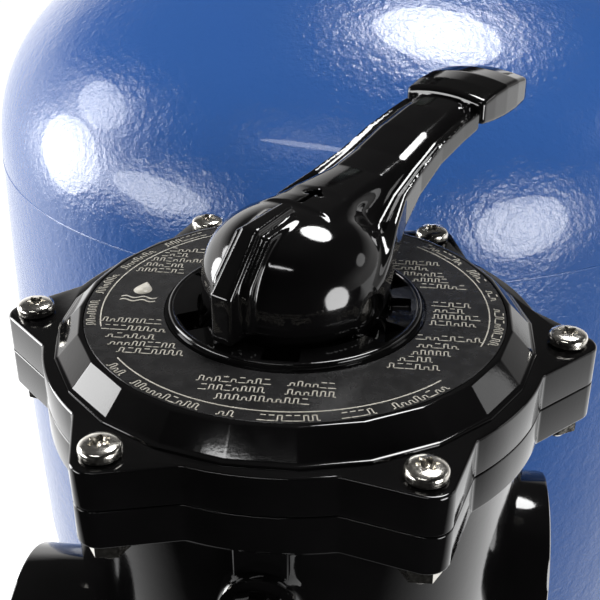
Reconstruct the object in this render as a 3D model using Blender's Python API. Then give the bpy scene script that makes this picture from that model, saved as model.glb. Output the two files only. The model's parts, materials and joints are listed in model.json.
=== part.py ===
"""Side-mount sand filter: a moulded tank with a six-way valve on its front, metres, +Z up.

The origin is on the tank's axis at the floor. The valve stands in front of the tank, at -Y.
"""

import math

import bpy
import bmesh
from mathutils import Matrix, Vector

GAP = 0.0003  # between pieces that touch

# Tank
TANK_R = 0.240
TANK_BULGE = 0.0024
TANK_WALL = 0.006
SEAM_Z = 0.545
BASIN_TOP_Z = 0.285
BASIN_DROP = 0.190
DOME_RISE = 0.148
DOME_CREST_POWER = 2.3
DOME_SIDE_POWER = 2.03
NECK_R = 0.098
NECK_TOP_Z = 0.700
MOUTH_R = 0.080
MOUTH_DEPTH = 0.022
TUBE_R = 0.0250  # the two fittings through the wall
TUBE_BORE_R = 0.0200
TUBE_HOLE_R = 0.0256
SPIGOT_R = 0.022  # the drain
SPIGOT_END = 0.238
DRAIN_HOLE_R = 0.0131
TANK_SEGMENTS = 36

# Valve, measured down or up from the top face of its cover's flange
VALVE_Y = -0.402
COVER_TOP_Z = 0.6127
BOLT_R = 0.086
FLANGE_R = 0.080
EAR_APEX_R = 0.098
EAR_ROUND_R = 0.007
COVER_FLANGE = 0.0125
BODY_FLANGE = 0.0130
FACETS = 24
FACET_LOW_R = 0.0750
FACET_TOP_R = 0.0685
LABEL_RISE = 0.0081
LABEL_THICK = 0.0008
LABEL_R = (0.0416, 0.0664)
INDEX_RISE = 0.0102
INDEX_R = 0.0402
SCREW_R = 0.0030
SCREW_HEAD_R = 0.0061
SCREW_HOLE_R = 0.0035
BOWL_R = 0.0310
BOWL_DROP = 0.0020
NOTCH_WIDTH = 0.0112
NOTCH_R = 0.0378
NOTCH_DEPTH = 0.0112
WINTER_NOTCH_DEPTH = 0.0027
BODY_TOP_R = 0.0770
BODY_BOTTOM_R = 0.0670
BODY_BOTTOM_Z = 0.315
BODY_WALL = 0.0055
SEAT_Z = 0.545
SEAT_THICK = 0.005
ROTOR_R = 0.0620
SHAFT_R = 0.0080
SEAL_THICK = 0.0012
COVER_SEAL_R = 0.0745

# Handle, at rest between two positions
HANDLE_ANGLE = math.radians(60)
PIN_RISE = 0.0148
PIN_R = 0.0040
PIN_HALF = 0.0262
HUB_R = 0.0295
HUB_NECK_R = 0.0268

# Connections to the tank and to the pipework
TANK_PORT_Z = (0.490, 0.365)
PAD_R = 0.042
PAD_OUT_Y = -0.2490
PAD_IN_Y = -0.2290
STUB_END_Y = -0.2966
PORT_BORE_R = 0.0240
PORTS = {  # end, offset towards the tank, height and outer radius
    "left": (-0.0965, -0.017, 0.4857, 0.0330),
    "right": (0.0895, 0.020, 0.5103, 0.0305),
    "waste": (0.0895, 0.020, 0.4257, 0.0305),
}
BOSS_Z = 0.5685
BOSS_R = 0.0123
BOSS_FRONT = 0.0835
BOSS_BORE_R = 0.0067
PASSAGE_TOP_Z = 0.4750
REAR_STUB_R = 0.0320

# Pipework inside the tank
PIPE_R = 0.0250
PIPE_BORE_R = 0.0205
PIPE_BEND_R = 0.045
COLLECTOR_Z = 0.150
LATERAL_R = 0.0110
LATERAL_END = 0.132

LID_SEAT_Z = 0.7003
GAUGE_CENTRE = (0.0, -0.022, 0.8010)
AIR_Z = 0.7314
DRAIN_Z = 0.2050


# Materials

def makeMaterial(name, colour, roughness, metallic=0.0):
    material = bpy.data.materials.new(name)
    material.use_nodes = True
    shader = material.node_tree.nodes["Principled BSDF"]
    shader.inputs["Base Color"].default_value = (*colour, 1.0)
    shader.inputs["Roughness"].default_value = roughness
    shader.inputs["Metallic"].default_value = metallic
    return material


def makeMaterials():
    return {
        "tank_blue": makeMaterial("tank_blue", (0.03, 0.10, 0.38), 0.12),
        "black_gloss": makeMaterial("black_gloss", (0.012, 0.012, 0.013), 0.15),
        "black_satin": makeMaterial("black_satin", (0.03, 0.03, 0.032), 0.45),
        "label": makeMaterial("label", (0.05, 0.05, 0.055), 0.35),
        "stainless": makeMaterial("stainless", (0.75, 0.72, 0.68), 0.2, 1.0),
        "rubber": makeMaterial("rubber", (0.02, 0.02, 0.02), 0.8),
        "white_plastic": makeMaterial("white_plastic", (0.80, 0.80, 0.78), 0.4),
        "dial_white": makeMaterial("dial_white", (0.90, 0.90, 0.88), 0.4),
        "clear": makeMaterial("clear", (0.85, 0.88, 0.90), 0.05),
        "spring_steel": makeMaterial("spring_steel", (0.55, 0.55, 0.56), 0.3, 1.0),
    }


# Mesh helpers

def finishMesh(bm):
    bmesh.ops.remove_doubles(bm, verts=bm.verts, dist=1e-6)
    bmesh.ops.recalc_face_normals(bm, faces=bm.faces)
    return bm


def addObject(name, bm, material, place=None):
    finishMesh(bm)
    mesh = bpy.data.meshes.new(name)
    bm.to_mesh(mesh)
    bm.free()
    if place is not None:
        mesh.transform(place)
    mesh.materials.append(material)
    mesh.shade_smooth()
    mesh.set_sharp_from_angle(angle=math.radians(35))
    obj = bpy.data.objects.new(name, mesh)
    bpy.context.scene.collection.objects.link(obj)
    return obj


def ringPoints(radius, z, segments, phase=0.0):
    step = 2 * math.pi / segments
    return [
        (radius * math.cos(phase + step * k), radius * math.sin(phase + step * k), z)
        for k in range(segments)
    ]


def turnedMesh(profile, segments, closed, phase=0.0):
    """A body of revolution about Z; profile is (radius, z) points, a loop when closed."""
    bm = bmesh.new()
    rows = []
    for radius, z in profile:
        if radius < 1e-7:
            rows.append([bm.verts.new((0, 0, z))])
        else:
            rows.append([bm.verts.new(p) for p in ringPoints(radius, z, segments, phase)])
    pairs = list(zip(rows, rows[1:]))
    if closed:
        pairs.append((rows[-1], rows[0]))
    for low, high in pairs:
        for k in range(segments):
            n = (k + 1) % segments
            if len(low) == 1 and len(high) == 1:
                continue
            if len(low) == 1:
                bm.faces.new((low[0], high[n], high[k]))
            elif len(high) == 1:
                bm.faces.new((low[k], low[n], high[0]))
            else:
                bm.faces.new((low[k], low[n], high[n], high[k]))
    return bm


def turned(name, profile, material, place=None, segments=28, closed=True, phase=0.0):
    return addObject(name, turnedMesh(profile, segments, closed, phase), material, place)


def rod(name, radius, low, high, material, place=None, segments=20, phase=0.0):
    profile = [(0, low), (radius, low), (radius, high), (0, high)]
    return turned(name, profile, material, place, segments, closed=False, phase=phase)


def ring(name, inner, outer, low, high, material, place=None, segments=28, phase=0.0):
    profile = [(inner, low), (outer, low), (outer, high), (inner, high)]
    return turned(name, profile, material, place, segments, phase=phase)


def seal(name, mid, thick, z, material, place=None, segments=18):
    """A ring of six-sided section."""
    steps = [math.pi / 3 * k for k in range(6)]
    profile = [(mid + thick * math.cos(a), z + thick * math.sin(a)) for a in steps]
    return turned(name, profile, material, place, segments)


def drilledNut(name, bore, outer, sides, low, high, material, place=None, round_sides=10):
    """A flat-sided nut with a round bore."""
    body = rod(name, outer, low, high, material, place, sides)
    return cut(body, rod("bore", bore, low - 0.01, high + 0.01, material, place, round_sides))


def prismMesh(outline, low, high):
    bm = bmesh.new()
    bottom = [bm.verts.new((x, y, low)) for x, y in outline]
    top = [bm.verts.new((x, y, high)) for x, y in outline]
    bm.faces.new(list(reversed(bottom)))
    bm.faces.new(top)
    count = len(outline)
    for k in range(count):
        n = (k + 1) % count
        bm.faces.new((bottom[k], bottom[n], top[n], top[k]))
    return bm


def prism(name, outline, low, high, material, place=None):
    return addObject(name, prismMesh(outline, low, high), material, place)


def lofted(name, sections, material, place=None):
    """Joins sections of equally many points, with both ends closed."""
    bm = bmesh.new()
    rows = [[bm.verts.new(p) for p in section] for section in sections]
    count = len(rows[0])
    for low, high in zip(rows, rows[1:]):
        for k in range(count):
            n = (k + 1) % count
            bm.faces.new((low[k], low[n], high[n], high[k]))
    bm.faces.new(list(reversed(rows[0])))
    bm.faces.new(rows[-1])
    return addObject(name, bm, material, place)


def pathFrames(route):
    """A point, a side and an up direction for each point of a route."""
    points = [Vector(p) for p in route]
    frames = []
    side = None
    for k, point in enumerate(points):
        ahead = points[min(k + 1, len(points) - 1)] - points[max(k - 1, 0)]
        ahead.normalize()
        if side is None:
            guide = Vector((0, 0, 1)) if abs(ahead.z) < 0.9 else Vector((1, 0, 0))
            side = ahead.cross(guide)
        side = (side - ahead * side.dot(ahead)).normalized()
        frames.append((point, side, ahead.cross(side)))
    return frames


def pipe(name, route, outer, inner, material, place=None, segments=14):
    """A hollow tube along a route, open at both ends."""
    bm = bmesh.new()
    rows = {outer: [], inner: []}
    for point, side, up in pathFrames(route):
        for radius, made in rows.items():
            row = []
            for k in range(segments):
                a = 2 * math.pi * k / segments
                row.append(bm.verts.new(point + side * math.cos(a) * radius + up * math.sin(a) * radius))
            made.append(row)
    for made in rows.values():
        for low, high in zip(made, made[1:]):
            for k in range(segments):
                n = (k + 1) % segments
                bm.faces.new((low[k], low[n], high[n], high[k]))
    for end in (0, -1):
        for k in range(segments):
            n = (k + 1) % segments
            bm.faces.new((rows[outer][end][k], rows[outer][end][n], rows[inner][end][n], rows[inner][end][k]))
    return addObject(name, bm, material, place)


def coil(name, radius, wire, low, high, turns, material, place=None, segments=10, sides=5):
    """A closed-ended helical spring about Z."""
    route = []
    for k in range(turns * segments + 1):
        a = 2 * math.pi * k / segments
        z = low + wire + (high - low - 2 * wire) * k / (turns * segments)
        route.append((radius * math.cos(a), radius * math.sin(a), z))
    sections = []
    for point, side, up in pathFrames(route):
        row = []
        for k in range(sides):
            a = 2 * math.pi * k / sides
            row.append(point + side * math.cos(a) * wire + up * math.sin(a) * wire)
        sections.append(row)
    return lofted(name, sections, material, place)


def weld(mesh):
    """Merges the near-double vertices that a Boolean leaves."""
    bm = bmesh.new()
    bm.from_mesh(mesh)
    bmesh.ops.remove_doubles(bm, verts=bm.verts, dist=5e-6)
    bmesh.ops.dissolve_degenerate(bm, edges=bm.edges, dist=5e-6)
    bm.to_mesh(mesh)
    bm.free()


def combine(target, other, operation):
    """Applies one exact Boolean to target and removes the other object."""
    modifier = target.modifiers.new("combine", "BOOLEAN")
    modifier.operation = operation
    modifier.solver = "EXACT"
    modifier.object = other
    bpy.context.view_layer.update()
    graph = bpy.context.evaluated_depsgraph_get()
    mesh = bpy.data.meshes.new_from_object(target.evaluated_get(graph))
    target.modifiers.clear()
    weld(mesh)
    mesh.materials.clear()
    mesh.materials.append(target.data.materials[0])
    target.data = mesh
    mesh.shade_smooth()
    mesh.set_sharp_from_angle(angle=math.radians(35))
    bpy.data.objects.remove(other)
    return target


def cut(target, *others):
    for other in others:
        combine(target, other, "DIFFERENCE")
    return target


def fuse(target, *others):
    for other in others:
        combine(target, other, "UNION")
    return target


def setOrigin(obj, point):
    """Moves the object's origin to a point without moving its mesh in the world."""
    obj.data.transform(Matrix.Translation(-Vector(point)))
    obj.location = point


# Places

def atValve(z=0.0):
    return Matrix.Translation((0, VALVE_Y, z))


def facingFront(x, y, z):
    """Turns local +Z to -Y, which is the valve side of the tank."""
    return Matrix.Translation((x, y, z)) @ Matrix.Rotation(math.pi / 2, 4, "X")


def facingBack(x, y, z):
    """Turns local +Z to +Y, towards the tank."""
    return Matrix.Translation((x, y, z)) @ Matrix.Rotation(-math.pi / 2, 4, "X")


def facingSide(x, y, z, direction):
    """Turns local +Z to +X or -X."""
    return Matrix.Translation((x, y, z)) @ Matrix.Rotation(direction * math.pi / 2, 4, "Y")


def boltPlaces():
    for k in range(6):
        a = math.radians(60) * k
        yield k + 1, (BOLT_R * math.cos(a), VALVE_Y + BOLT_R * math.sin(a))


# Tank

def domeProfile(radius, rise, base_z, steps, last_radius):
    """Points of a squashed dome from its edge up to last_radius."""
    points = []
    share = (1 - (last_radius / radius) ** DOME_SIDE_POWER) ** (1 / DOME_CREST_POWER)
    for k in range(steps + 1):
        h = share * math.sin(math.pi / 2 * k / steps)
        r = radius * (1 - h ** DOME_CREST_POWER) ** (1 / DOME_SIDE_POWER)
        points.append((r, base_z + rise * h))
    return points


def shellProfile(inset):
    """One side of the tank's wall, from the bottom centre up to its neck."""
    radius = TANK_R - inset
    basin = domeProfile(radius, BASIN_DROP - inset, 0.0, 5, 0.03)
    low = [(r, BASIN_TOP_Z - z) for r, z in reversed(basin)]
    wall = []
    for k in range(1, 4):
        share = k / 4
        bulge = TANK_BULGE * math.sin(math.pi * share)
        wall.append((radius + bulge, BASIN_TOP_Z + (SEAM_Z - BASIN_TOP_Z) * share))
    dome = domeProfile(radius, DOME_RISE - inset, SEAM_Z, 5, NECK_R - inset / 2)
    return [(0, low[0][1])] + low + wall + dome


def makeTankShell(mats):
    outer = shellProfile(0.0)
    inner = shellProfile(TANK_WALL)
    neck_outer = [(NECK_R, NECK_TOP_Z)]
    neck_inner = [(MOUTH_R, NECK_TOP_Z), (MOUTH_R, NECK_TOP_Z - MOUTH_DEPTH)]
    profile = outer + neck_outer + neck_inner + list(reversed(inner))
    shell = turned("tank_shell", profile, mats["tank_blue"], segments=TANK_SEGMENTS, closed=False)
    for z in TANK_PORT_Z:
        pad = rod("pad", PAD_R, -PAD_IN_Y, -PAD_OUT_Y, mats["tank_blue"], facingFront(0, 0, z), 28)
        fuse(shell, pad)
        cut(shell, rod("bore", TUBE_HOLE_R, 0.20, 0.27, mats["tank_blue"], facingFront(0, 0, z)))
    spigot = rod("spigot", SPIGOT_R, 0.206, SPIGOT_END, mats["tank_blue"], facingFront(0, 0, DRAIN_Z), 16)
    fuse(shell, spigot)
    cut(shell, rod("drain", DRAIN_HOLE_R, 0.180, 0.260, mats["tank_blue"], facingFront(0, 0, DRAIN_Z), 16))
    return shell


def basinHeight(radius):
    """Height of the tank's underside at a radius."""
    share = 1 - (radius / TANK_R) ** DOME_SIDE_POWER
    return BASIN_TOP_Z - BASIN_DROP * share ** (1 / DOME_CREST_POWER)


def makeFoot(mats):
    """A closed pan whose rim cradles the tank."""
    cradle = [(r, basinHeight(r) - 0.0008) for r in (0.1990, 0.1950, 0.1905, 0.1860)]
    profile = [(0, 0), (0.2130, 0), (0.2150, 0.0040), (0.2010, 0.1640)] + cradle
    profile += [(0.1860, 0.1420), (0.1968, 0.1300), (0.2080, 0.0060), (0, 0.0060)]
    return turned("tank_foot", profile, mats["black_satin"], segments=TANK_SEGMENTS, closed=False)


def makeDrain(mats):
    place = facingFront(0, 0, DRAIN_Z)
    face = SPIGOT_END + 0.0023
    profile = [(0, 0.212), (0.0127, 0.212), (0.0127, face), (0.0195, face), (0.0195, face + 0.009),
               (0, face + 0.009)]
    plug = turned("drain_plug", profile, mats["black_gloss"], place, 16, closed=False)
    wing = prism("wing", box(0.0150, 0.0045), face + 0.007, face + 0.021, mats["black_gloss"], place)
    setOrigin(fuse(plug, wing), (0, -face, DRAIN_Z))
    ring("drain_gasket", 0.0134, 0.0190, face - 0.0020, face - GAP, mats["rubber"], place, 16)


def box(half_x, half_y):
    return [(-half_x, -half_y), (half_x, -half_y), (half_x, half_y), (-half_x, half_y)]


# Tank connections

def makeConnection(level, z, mats):
    """Bulkhead fitting, its gasket and nut, and the union that holds the valve."""
    place = facingFront(0, 0, z)
    flange = -PAD_IN_Y - 0.0026
    end = -STUB_END_Y - 0.0036
    tube = [
        (TUBE_BORE_R, 0.205), (TUBE_R, 0.205), (TUBE_R, flange - 0.005), (0.0380, flange - 0.005),
        (0.0380, flange), (TUBE_R, flange), (TUBE_R, end - 0.005), (0.0310, end - 0.005),
        (0.0310, end), (TUBE_BORE_R, end),
    ]
    turned(f"bulkhead_{level}", tube, mats["black_satin"], place, 20)
    ring(f"bulkhead_gasket_{level}", 0.0254, 0.0370, flange + GAP, -PAD_IN_Y - GAP, mats["rubber"], place, 20)
    nut_low = -PAD_OUT_Y + GAP
    nut_high = nut_low + 0.012
    drilledNut(f"bulkhead_nut_{level}", TUBE_HOLE_R, 0.0400, 8, nut_low, nut_high, mats["black_satin"], place, 20)
    seal(f"union_oring_{level}", 0.0262, 0.0015, end + 0.0018, mats["rubber"], place)
    cavity = 0.0330
    nut = [
        (TUBE_HOLE_R, end - 0.0103), (0.0400, end - 0.0103), (0.0400, end + 0.0180), (cavity, end + 0.0180),
        (cavity, end - 0.0053), (TUBE_HOLE_R, end - 0.0053),
    ]
    turned(f"union_nut_{level}", nut, mats["black_gloss"], place, 24)


def arcRoute(centre, radius, start, stop, steps):
    """Points of an arc in the YZ plane at x = 0, by angle from +Y towards +Z."""
    y, z = centre
    points = []
    for k in range(steps + 1):
        a = math.radians(start + (stop - start) * k / steps)
        points.append((0, y + radius * math.cos(a), z + radius * math.sin(a)))
    return points


def makeInternals(mats):
    """The raw-water riser and diffuser above, the collector below."""
    upper_z, lower_z = TANK_PORT_Z
    bend = PIPE_BEND_R
    inlet_y = -0.2047
    turn_y = -0.060
    rise = arcRoute((turn_y, upper_z + bend), bend, -90, 0, 5)
    top_y = turn_y + bend
    pipe("inlet_pipe", [(0, inlet_y, upper_z)] + rise + [(0, top_y, 0.600)], PIPE_R, PIPE_BORE_R,
         mats["white_plastic"])
    diffuser = [
        (0.0190, 0.6003), (0.0330, 0.6003), (0.0700, 0.6250), (0.0700, 0.6280),
        (0.0300, 0.6040), (0.0190, 0.6040),
    ]
    turned("diffuser", diffuser, mats["white_plastic"], Matrix.Translation((0, top_y, 0)), 20)
    drop_z = COLLECTOR_Z
    fall = arcRoute((-bend, lower_z - bend), bend, 90, 0, 5)
    pipe("outlet_pipe", [(0, inlet_y, lower_z)] + fall + [(0, 0, drop_z + 0.0263)], PIPE_R, PIPE_BORE_R,
         mats["white_plastic"])
    hub = [
        (0, drop_z - 0.022), (0.040, drop_z - 0.022), (0.040, drop_z + 0.020), (0.0240, drop_z + 0.026),
        (0.0190, drop_z + 0.026), (0.0190, drop_z + 0.014), (0.034, drop_z + 0.012),
        (0.034, drop_z - 0.016), (0, drop_z - 0.016),
    ]
    collector = turned("lateral_hub", hub, mats["white_plastic"], segments=18, closed=False)
    for k in range(6):
        aim = Matrix.Rotation(math.radians(60) * k + math.radians(30), 4, "Z") @ facingSide(0, 0, drop_z, 1)
        cut(collector, rod("hole", 0.0084, 0.020, 0.060, mats["white_plastic"], aim, 10))
        profile = [(0.0050, 0.036), (0.0078, 0.036), (0.0078, 0.0403), (LATERAL_R, 0.0403),
                   (LATERAL_R, LATERAL_END), (0, LATERAL_END), (0, LATERAL_END - 0.004),
                   (0.0080, LATERAL_END - 0.004), (0.0080, 0.044), (0.0050, 0.044)]
        turned(f"lateral_{k + 1}", profile, mats["white_plastic"], aim, 10)


# Top closure

def makeClosure(mats):
    lid = [
        (0.0100, 0.7160), (0.0550, 0.7120), (0.0700, 0.7063), (0.0770, 0.7063), (0.0770, 0.6850),
        (0.0790, 0.6850), (0.0790, 0.7026), (0.0960, 0.7026), (0.0960, 0.7090), (0.0740, 0.7130),
        (0.0560, 0.7190), (0.0240, 0.7225), (0.0240, 0.7400), (0.0100, 0.7400),
    ]
    cap = turned("lid", lid, mats["black_gloss"], segments=28)
    aim = facingFront(0, 0, AIR_Z)
    fuse(cap, rod("spigot", 0.0080, 0.016, 0.034, mats["black_gloss"], aim, 12))
    cut(cap, rod("vent", 0.0042, 0.005, 0.040, mats["black_gloss"], aim, 8))
    ring("lid_gasket", 0.0800, 0.0950, LID_SEAT_Z, LID_SEAT_Z + 0.0020, mats["rubber"])
    clamp = [
        (0.0992, 0.6905), (0.1080, 0.6905), (0.1080, 0.7120), (0.0860, 0.7150), (0.0860, 0.7120),
        (0.0963, 0.7096), (0.0992, 0.7096),
    ]
    clamp_ring = turned("lid_ring", clamp, mats["black_gloss"], segments=28)
    for k in range(8):
        a = math.radians(45) * k
        lug = prism("lug", box(0.007, 0.011), 0.6905, 0.7125, mats["black_gloss"],
                    Matrix.Rotation(a, 4, "Z") @ Matrix.Translation((0.1095, 0, 0)))
        fuse(clamp_ring, lug)
    makeAirRelease(mats)
    makeGauge(mats)


def makeAirRelease(mats):
    place = facingFront(0, 0, AIR_Z)
    stem = [(0, 0.0250), (0.0036, 0.0250), (0.0036, 0.0363), (0.0095, 0.0363), (0.0095, 0.0440), (0, 0.0440)]
    screw = turned("air_release_screw", stem, mats["black_gloss"], place, 12, closed=False)
    fuse(screw, prism("wing", box(0.0090, 0.0025), 0.0420, 0.0540, mats["black_gloss"], place))
    setOrigin(screw, (0, -0.0363, AIR_Z))
    ring("air_release_oring", 0.0042, 0.0078, 0.0343, 0.0360, mats["rubber"], place, 12)


def makeGauge(mats):
    x, y, z = GAUGE_CENTRE
    stem = rod("gauge_case", 0.0085, 0.7250, z - 0.0312, mats["black_gloss"], None, 14)
    case = [
        (0, -0.022), (0.0315, -0.022), (0.0330, -0.018), (0.0330, 0.010), (0.0300, 0.010),
        (0.0300, -0.016), (0, -0.016),
    ]
    place = facingFront(x, y, z)
    fuse(stem, rod("collar", 0.0130, 0.7403, 0.7560, mats["black_gloss"], None, 6))
    fuse(stem, turned("cup", case, mats["black_gloss"], place, 28, closed=False))
    rod("gauge_dial", 0.0296, -0.0157, -0.0142, mats["dial_white"], place, 28)
    needle = prism("gauge_needle", [(-0.0012, -0.007), (0.0012, -0.007), (0.0004, 0.022), (-0.0004, 0.022)],
                   -0.0100, -0.0088, mats["black_satin"],
                   place @ Matrix.Rotation(math.radians(135), 4, "Z"))
    fuse(needle, rod("boss", 0.0030, -0.0138, -0.0080, mats["black_satin"], place, 8))
    setOrigin(needle, (x, y + 0.010, z))
    rod("gauge_lens", 0.0296, 0.0060, 0.0085, mats["clear"], place, 28)


# Valve body and cover

def earOutline(circle_r, apex_r, round_r):
    """A round flange with six right-angled ears, rounded at their tips."""
    points = []
    tip = apex_r - round_r * math.sqrt(2)
    for k in range(6):
        middle = math.radians(60) * k
        for j in range(4):
            a = math.radians(-45 + 30 * j)
            x = tip + round_r * math.cos(a)
            y = round_r * math.sin(a)
            points.append((x * math.cos(middle) - y * math.sin(middle),
                           x * math.sin(middle) + y * math.cos(middle)))
        # the straight flank meets the circle where its distance from the centre is circle_r
        reach = apex_r / math.sqrt(2)
        meet = math.acos(reach / circle_r)
        leave = math.radians(45) - meet
        for j in range(5):
            a = middle + leave + (math.radians(60) - 2 * leave) * j / 4
            points.append((circle_r * math.cos(a), circle_r * math.sin(a)))
    return points


def sectorOutline(inner, outer, start, stop, steps=8):
    angles = [math.radians(start + (stop - start) * k / steps) for k in range(steps + 1)]
    points = [(outer * math.cos(a), outer * math.sin(a)) for a in angles]
    return points + [(inner * math.cos(a), inner * math.sin(a)) for a in reversed(angles)]


def makeCover(mats):
    black = mats["black_gloss"]
    bottom = COVER_TOP_Z - COVER_FLANGE
    cover = prism("valve_cover", earOutline(FLANGE_R, EAR_APEX_R, EAR_ROUND_R), bottom, COVER_TOP_Z, black,
                  atValve())
    crown = [(0, -0.004), (FACET_LOW_R, -0.004), (FACET_LOW_R, 0.0), (FACET_TOP_R, LABEL_RISE), (0, LABEL_RISE)]
    phase = math.radians(180 / FACETS)
    fuse(cover, turned("crown", crown, black, atValve(COVER_TOP_Z), FACETS, closed=False, phase=phase))
    index = [(0, 0.003), (INDEX_R, 0.003), (INDEX_R, INDEX_RISE - 0.0008), (INDEX_R - 0.0008, INDEX_RISE),
             (0, INDEX_RISE)]
    fuse(cover, turned("index", index, black, atValve(COVER_TOP_Z), 36, closed=False))
    cut(cover, ring("recess", LABEL_R[0] - GAP, LABEL_R[1] + GAP, LABEL_RISE - LABEL_THICK - GAP, 0.02, black,
                    atValve(COVER_TOP_Z), 36))
    cut(cover, rod("bowl", BOWL_R, -BOWL_DROP, 0.02, black, atValve(COVER_TOP_Z), 32))
    for k in range(7):
        angle, depth = (30 + 60 * k, NOTCH_DEPTH) if k < 6 else (0, WINTER_NOTCH_DEPTH)
        turn = Matrix.Rotation(math.radians(angle), 4, "Z")
        reach = [(BOWL_R - 0.008, -NOTCH_WIDTH / 2), (NOTCH_R, -NOTCH_WIDTH / 2),
                 (NOTCH_R, NOTCH_WIDTH / 2), (BOWL_R - 0.008, NOTCH_WIDTH / 2)]
        cut(cover, prism("notch", reach, INDEX_RISE - depth, 0.02, black, atValve(COVER_TOP_Z) @ turn))
    hollowCover(cover, black, bottom)
    return cover


def hollowCover(cover, black, bottom):
    """A ring-shaped hollow below, the shaft's bore with its seal groove, and the screw holes."""
    hollow = [
        (0.0165, -0.016), (0.0690, -0.016), (0.0660, 0.0005), (0.0470, 0.0020), (0.0400, -0.0090),
        (0.0165, -0.0090),
    ]
    cut(cover, turned("hollow", hollow, black, atValve(COVER_TOP_Z), 24))
    cut(cover, rod("shaft_hole", SHAFT_R + GAP, 0.55, 0.65, black, atValve(), 20))
    groove = SHAFT_R + 2 * SEAL_THICK + 0.0004
    cut(cover, ring("groove", SHAFT_R - 0.001, groove, -0.0090, -0.0060, black, atValve(COVER_TOP_Z), 20))
    for _, (x, y) in boltPlaces():
        place = Matrix.Translation((x, y, 0))
        cut(cover, rod("hole", SCREW_HOLE_R, bottom - 0.01, COVER_TOP_Z + 0.01, black, place, 10))


def bodyRadius(z):
    top = COVER_TOP_Z - COVER_FLANGE - BODY_FLANGE
    share = (top - z) / (top - BODY_BOTTOM_Z)
    return BODY_TOP_R + (BODY_BOTTOM_R - BODY_TOP_R) * share


def makeBody(mats):
    black = mats["black_gloss"]
    seam = COVER_TOP_Z - COVER_FLANGE - GAP
    flange_low = seam - BODY_FLANGE + GAP
    body = prism("valve_body", earOutline(FLANGE_R, EAR_APEX_R, EAR_ROUND_R), flange_low, seam, black, atValve())
    barrel = [(0, BODY_BOTTOM_Z - 0.006), (0.035, BODY_BOTTOM_Z - 0.005), (0.056, BODY_BOTTOM_Z),
              (BODY_BOTTOM_R, BODY_BOTTOM_Z + 0.010), (BODY_TOP_R, flange_low), (BODY_TOP_R, flange_low + 0.004),
              (0, flange_low + 0.004)]
    fuse(body, turned("barrel", barrel, black, atValve(), 36, closed=False))
    addStubs(body, black)
    boss = rod("boss", BOSS_R, 0.060, BOSS_FRONT, black, facingFront(0, VALVE_Y, BOSS_Z), 20)
    rib = prism("rib", [(-0.0078, -0.0796), (0.0078, -0.0796), (0.0078, -0.060), (-0.0078, -0.060)],
                BOSS_Z, flange_low + 0.002, black, atValve())
    fuse(body, rib, boss)
    hollowBody(body, black, seam)
    cut(body, rod("gauge_bore", BOSS_BORE_R, 0.060, 0.095, black, facingFront(0, VALVE_Y, BOSS_Z), 14))
    for _, (x, y) in boltPlaces():
        place = Matrix.Translation((x, y, 0))
        cut(body, rod("hole", SCREW_HOLE_R, flange_low - 0.02, seam + 0.01, black, place, 10))
    return body


def stubPlaces():
    for reach, offset, z, radius in PORTS.values():
        direction = 1 if reach > 0 else -1
        yield facingSide(0, VALVE_Y + offset, z, direction), abs(reach), radius


def addStubs(body, black):
    for place, reach, radius in stubPlaces():
        fuse(body, rod("stub", radius, 0.030, reach, black, place, 24))
    for z in TANK_PORT_Z:
        length = STUB_END_Y - VALVE_Y
        fuse(body, rod("rear_stub", REAR_STUB_R, 0.050, length, black, facingBack(0, VALVE_Y, z), 24))


def hollowBody(body, black, seam):
    """Rotor chamber above the seat, five ribbed passages under it, and a bore through each stub."""
    chamber = [(0, SEAT_Z), (0.0665, SEAT_Z), (0.0695, seam + 0.002), (0, seam + 0.002)]
    cut(body, turned("chamber", chamber, black, atValve(), 32, closed=False))
    cut(body, ring("groove", COVER_SEAL_R - 0.0015, COVER_SEAL_R + 0.0015, seam - 0.0024, seam + 0.002, black,
                   atValve(), 32))
    low = BODY_BOTTOM_Z + 0.004
    mid = PASSAGE_TOP_Z
    passage = [(0, low), (bodyRadius(low) - BODY_WALL - 0.004, low), (bodyRadius(mid) - BODY_WALL, mid), (0, mid)]
    cut(body, turned("passage", passage, black, atValve(), 24, closed=False))
    for k in range(5):
        wide = sectorOutline(0.0160, 0.0660, 72 * k + 3, 72 * k + 69, 4)
        cut(body, prism("way", wide, mid - 0.002, SEAT_Z - SEAT_THICK, black, atValve()))
        window = sectorOutline(0.0200, 0.0580, 72 * k + 7, 72 * k + 65, 3)
        cut(body, prism("window", window, SEAT_Z - 0.01, SEAT_Z + 0.01, black, atValve()))
    for place, reach, _ in stubPlaces():
        cut(body, rod("bore", PORT_BORE_R, 0.045, reach + 0.01, black, place, 20))
    for z in TANK_PORT_Z:
        cut(body, rod("bore", 0.0200, 0.045, 0.120, black, facingBack(0, VALVE_Y, z), 18))


def makeFasteners(mats):
    """Pan-head screws down through both flanges, with a nut under each ear."""
    steel = mats["stainless"]
    under = COVER_TOP_Z - COVER_FLANGE - BODY_FLANGE
    for number, (x, y) in boltPlaces():
        z = COVER_TOP_Z
        tip = under - 0.0085
        place = Matrix.Translation((x, y, 0))
        profile = [(0, tip), (SCREW_R, tip), (SCREW_R, z + GAP), (SCREW_HEAD_R, z + GAP),
                   (SCREW_HEAD_R, z + 0.0022),
                   (0.0048, z + 0.0039), (0.0026, z + 0.0043), (0, z + 0.0043)]
        screw = turned(f"cover_screw_{number}", profile, steel, place, 12, closed=False)
        cut(screw, rod("recess", 0.0021, z + 0.0022, z + 0.010, steel, place, 6))
        drilledNut(f"cover_nut_{number}", 0.0033, 0.0063, 6, under - GAP - 0.0055, under - GAP, steel, place)


# Rotor, its seals and the handle

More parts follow.
